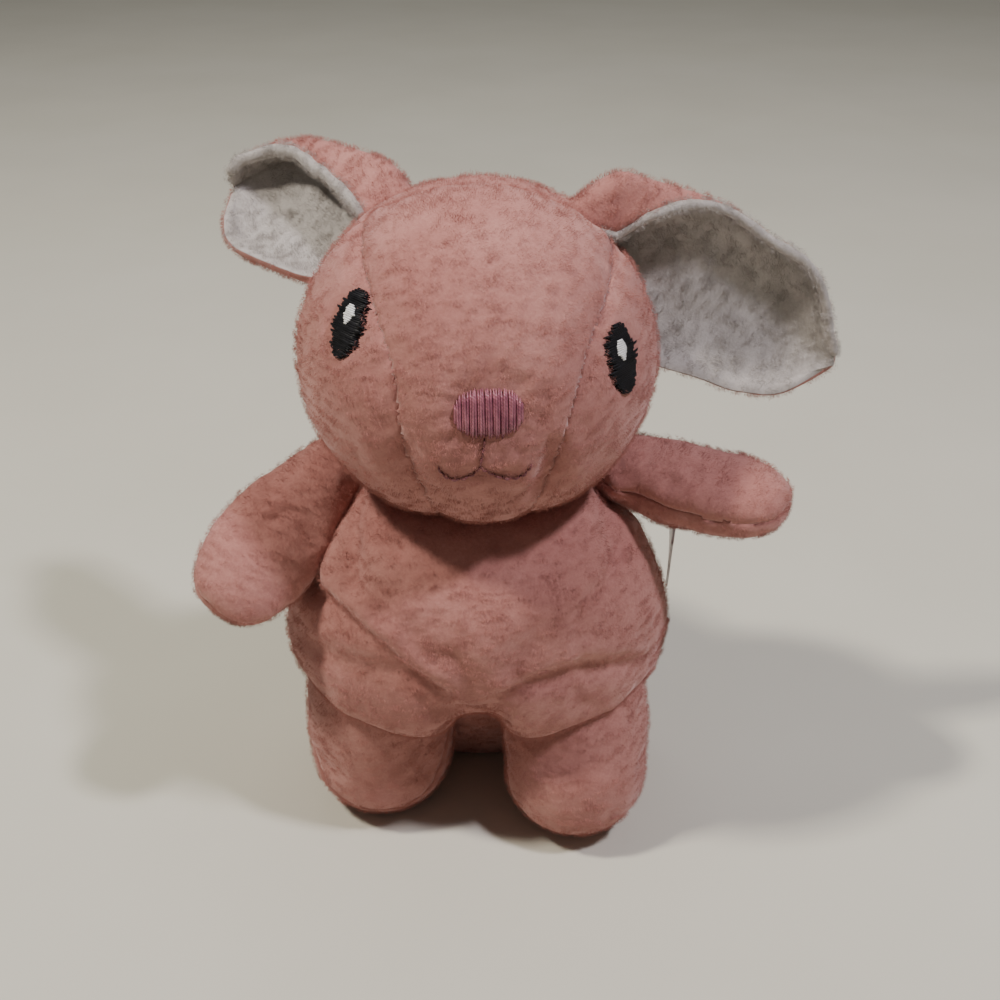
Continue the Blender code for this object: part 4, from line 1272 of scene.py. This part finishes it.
def mouth_lines():
    """The drop under the nose and the two curves, laid out in the boxes of their CAD strokes."""
    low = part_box("mouth_stroke_centre")[0]
    top, foot = Vector((middle("mouth_stroke_centre").x, 0, NOSE.z - NOSE_HALF[1])), Vector((low.x, 0, low.z))
    halfway = (top + foot) / 2
    yield "mouth_stroke_centre", [(place.x, place.z) for place in (top, halfway, foot)]
    for side in ("left", "right"):
        low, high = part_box("mouth_stroke_" + side)
        far = high.x if side == "left" else low.x
        fractions = ((0.25, 0.45), (0.5, 0.15), (0.75, 0.15), (0.93, 0.6), (1.0, 1.05))
        curve = [(foot.x, foot.z)]
        for across, rise in fractions:
            curve.append((foot.x + (far - foot.x) * across, low.z + (high.z - low.z) * rise))
        yield "mouth_stroke_" + side, curve


def build_mouth(tree):
    """Backstitch: short threads laid end to end, each dipping into the fabric at its ends."""
    for name, corners in mouth_lines():
        line = smooth_polyline([(x / MM, z / MM) for x, z in corners], 6)
        lengths = np.concatenate([[0], np.cumsum(np.linalg.norm(np.diff(line, axis=0), axis=1))])
        stitches = max(2, round(lengths[-1] / (1.5 * MM)))
        made = bmesh.new()
        for index in range(stitches):
            points = []
            for step in range(5):
                place = lengths[-1] * (index + step / 4 * 0.96 + 0.02) / stitches
                x = float(np.interp(place, lengths, line[:, 0]))
                z = float(np.interp(place, lengths, line[:, 1]))
                hit, normal, _, _ = tree.ray_cast(Vector((x, -0.1, z)), Vector((0, 1, 0)))
                lift = 0.4 * MM * math.sin(math.pi * step / 4) + 0.05 * MM
                points.append(hit + normal * lift)
            strand(made, points, 0.2 * MM, 7, 0.7)
        close_threads(made, name + "_stitches", finishes["brown"], name)


# ---------------------------------------------------------------- tail, label
def build_tail():
    low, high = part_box("tail")
    centre, radius = (low + high) / 2, (high.x - low.x) / 2

    def tuft(unit):
        swell = 1 + 0.07 * noise.noise(unit * 2.4) + 0.04 * noise.noise(unit * 6)
        return centre + unit * radius * swell
    piece = remeshed("tail_tuft", ball_mesh("tail_tuft", tuft, 32, 22), 1.2 * MM)
    subdivided(piece)
    mesh = piece.data
    dressed(mesh, finishes["cream"])
    set_pile(mesh, np.ones(len(mesh.vertices)))
    stands_for("tail")
    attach(piece, "torso")
    add_pile(piece, finishes["cream_pile"], (0, 0.2, -0.6), length=2.2 * MM, lean=0.5, seed=41, density=1.2)


def build_label():
    """A blank satin ribbon folded flat on itself; it leaves the side seam under the left arm."""
    points = node_points("care_label")
    along, up = [Vector(axis) for axis in np.linalg.svd(points - points.mean(0), full_matrices=False)[2][:2]]
    along, up = (along if along.y > 0 else -along), (up if up.z > 0 else -up)
    length, width = np.ptp(points @ np.array(along)), np.ptp(points @ np.array(up))
    root = middle("care_label") - along * length / 2
    loop = 0.35 * MM
    made = bmesh.new()
    rows = []
    for index in range(41):
        t = index / 40
        run = 1 - abs(2 * t - 1)
        reach = math.sin(math.pi / 2 * min(1.0, run * 1.04)) if run > 0.9 else run * 1.02
        bulge = loop * (1 if t > 0.5 else -1) * min(1.0, (1 - run) * 9) * (0.35 + 0.65 * run)
        sway = 0.5 * MM * math.sin(run * 3.0)
        line = []
        for step in range(13):
            s = step / 12 - 0.5
            cup = 0.7 * MM * (2 * s) ** 2 * run
            place = root + along * length * reach + up * s * width + Vector((bulge + sway + cup, 0, 0))
            line.append(made.verts.new(place))
        rows.append(line)
    for first, second in zip(rows, rows[1:]):
        for step in range(12):
            made.faces.new((first[step], second[step], second[step + 1], first[step + 1]))
    mesh = mesh_from(made, "care_label_ribbon")
    dressed(mesh, finishes["satin"])
    piece = new_object("care_label_ribbon", mesh)
    solid = piece.modifiers.new("ribbon", "SOLIDIFY")
    solid.thickness = 0.22 * MM
    solid.offset = 0.0
    stands_for("care_label")
    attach(piece, "torso")


# ---------------------------------------------------------------- assembly
def embroidery_mask(points):
    """Nought where thread covers the fabric, one where the pile is free."""
    pile = np.ones(len(points))
    front = points[:, 1] < HEAD_CENTRE.y
    for name, power in (("eye_left", 2), ("eye_right", 2), ("nose_embroidery", 4)):
        centre, half = middle(name), half_size(name)
        a, b = (points[:, 0] - centre.x) / half.x, (points[:, 2] - centre.z) / half.z
        size = (np.abs(a) ** power + np.abs(b) ** power) ** (1 / power)
        pile = np.where(front, np.minimum(pile, np.clip((size - 0.85) * 4, 0, 1)), pile)
    return pile


def build_rabbit():
    head = build_head()
    body = build_body()
    limbs = {}
    for seed, side in ((51, "left"), (49, "right")):
        name = "arm_" + side
        panels = (name + "_upper_panel", name + "_lower_panel")
        share = 0.08 if side == "right" else 0.0
        limbs[name] = (build_limb(name, panels, seed, stretch=longer_arm(side, share)), panels)
        name = "leg_" + side
        panels = (name + "_front_panel", name + "_back_panel")
        thigh = full_thigh(4.5 * MM, 2.5 * MM) if side == "right" else full_thigh(3.5 * MM, 1.5 * MM)
        limbs[name] = (build_limb(name, panels, seed + 10, grounded=True, stretch=thigh), panels)
    for limb, _ in limbs.values():
        tucked(body, limb, 1.0 * MM, 1.5 * MM)
    tucked(body, head, 0.9 * MM, 1.6 * MM)

    build_face(head)
    set_pile(head.data, embroidery_mask(points_of(head.data)))
    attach(filling_of(head, "head_filling", "head_stuffing"), "head")
    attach(filling_of(body, "body_filling", "body_stuffing"), "torso")
    for panel in split_panels(head, HEAD_PANELS, finishes["pink"], seam_bow):
        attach(panel, "head")
        add_pile(panel, finishes["pink_pile"], (0.25, 0, -1), seed=71)
        thickened(panel)
    set_pile(body.data, np.clip(points_of(body.data)[:, 2] / (2 * MM), 0.1, 1))
    for panel in split_panels(body, BODY_PANELS, finishes["pink"]):
        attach(panel, "torso")
        add_pile(panel, finishes["pink_pile"], (0.1, 0, -1), seed=73)
        thickened(panel)
    for name, (limb, panels) in limbs.items():
        hinge = pivot(name + "_swing")
        along = (middle(name + "_stuffing") - hinge).normalized()
        if name.startswith("arm"):
            finish_limb(limb, name, panels,
                        tuple(along * 0.9 + Vector((0, 0, -0.4))), 81)
        else:
            centre = Vector((hinge.x, middle(name + "_stuffing").y, hinge.z))
            finish_limb(limb, name, panels, (0, 0, -1), 83)
    build_ear("left")
    build_ear("right")
    build_tail()
    build_label()
    for name, finish in (("neck_stuffing", "fibre"), ("pellet_pouch", "pellets")):
        carried = frame["nodes"][name]
        carried.data.materials.clear()
        carried.data.materials.append(finishes[finish])


# ---------------------------------------------------------------- stage
LAMPS = (
    # name, direction from the rabbit, distance and size in metres, watts, colour
    ("key", (-0.52, -0.17, 0.90), 0.9, 0.07, 7.1, (1.0, 0.93, 0.84)),
    ("fill", (0.47, -0.28, 0.92), 0.9, 0.07, 6.0, (0.95, 0.90, 1.0)),
    ("top", (0.0, 0.35, 1.0), 1.1, 0.7, 2.2, (1.0, 0.98, 0.94)),
)
CAMERA_PLACE = (0.0047, -0.2327, 0.1966)
CAMERA_TILT = math.radians(60.0)    # from straight down
CAMERA_LENS = 46.8                  # millimetres, on a 36 mm sensor
STUDIO_COLOUR = (0.90, 0.92, 0.94, 1)
STUDIO_STRENGTH = 0.10


def area_light(name, direction, distance, size, power, colour, target=Vector((0, -0.02, 0.06))):
    light = bpy.data.lights.new(name, "AREA")
    light.size = size
    light.energy = power
    light.color = colour
    made = bpy.data.objects.new(name, light)
    bpy.context.scene.collection.objects.link(made)
    made.location = target + Vector(direction).normalized() * distance
    made.rotation_euler = (target - made.location).to_track_quat("-Z", "Y").to_euler()


def build_stage():
    mesh = bpy.data.meshes.new("floor")
    sheet = bmesh.new()
    bmesh.ops.create_grid(sheet, x_segments=1, y_segments=1, size=4.0)
    sheet.to_mesh(mesh)
    sheet.free()
    floor = new_object("floor", mesh)
    floor.location.z = -0.05 * MM
    made, tree, shader, place = base_material("pale_floor", 0.9)
    tint = noise_at(tree, place, 12.0)
    painted(tree, shader, tint, (0.3, (0.585, 0.57, 0.475)), (0.7, (0.615, 0.60, 0.505)))
    mesh.materials.append(made)
    world = bpy.data.worlds.new("studio")
    world.use_nodes = True
    background = world.node_tree.nodes["Background"]
    background.inputs["Color"].default_value = STUDIO_COLOUR
    background.inputs["Strength"].default_value = STUDIO_STRENGTH
    bpy.context.scene.world = world
    for lamp in LAMPS:
        area_light(*lamp)
    camera = bpy.data.cameras.new("camera")
    camera.lens = CAMERA_LENS
    camera.sensor_width = 36.0
    camera.clip_start = 0.01
    made = bpy.data.objects.new("camera", camera)
    bpy.context.scene.collection.objects.link(made)
    made.location = CAMERA_PLACE
    made.rotation_euler = (CAMERA_TILT, 0.0, 0.0)
    bpy.context.scene.camera = made


build_rabbit()
build_stage()
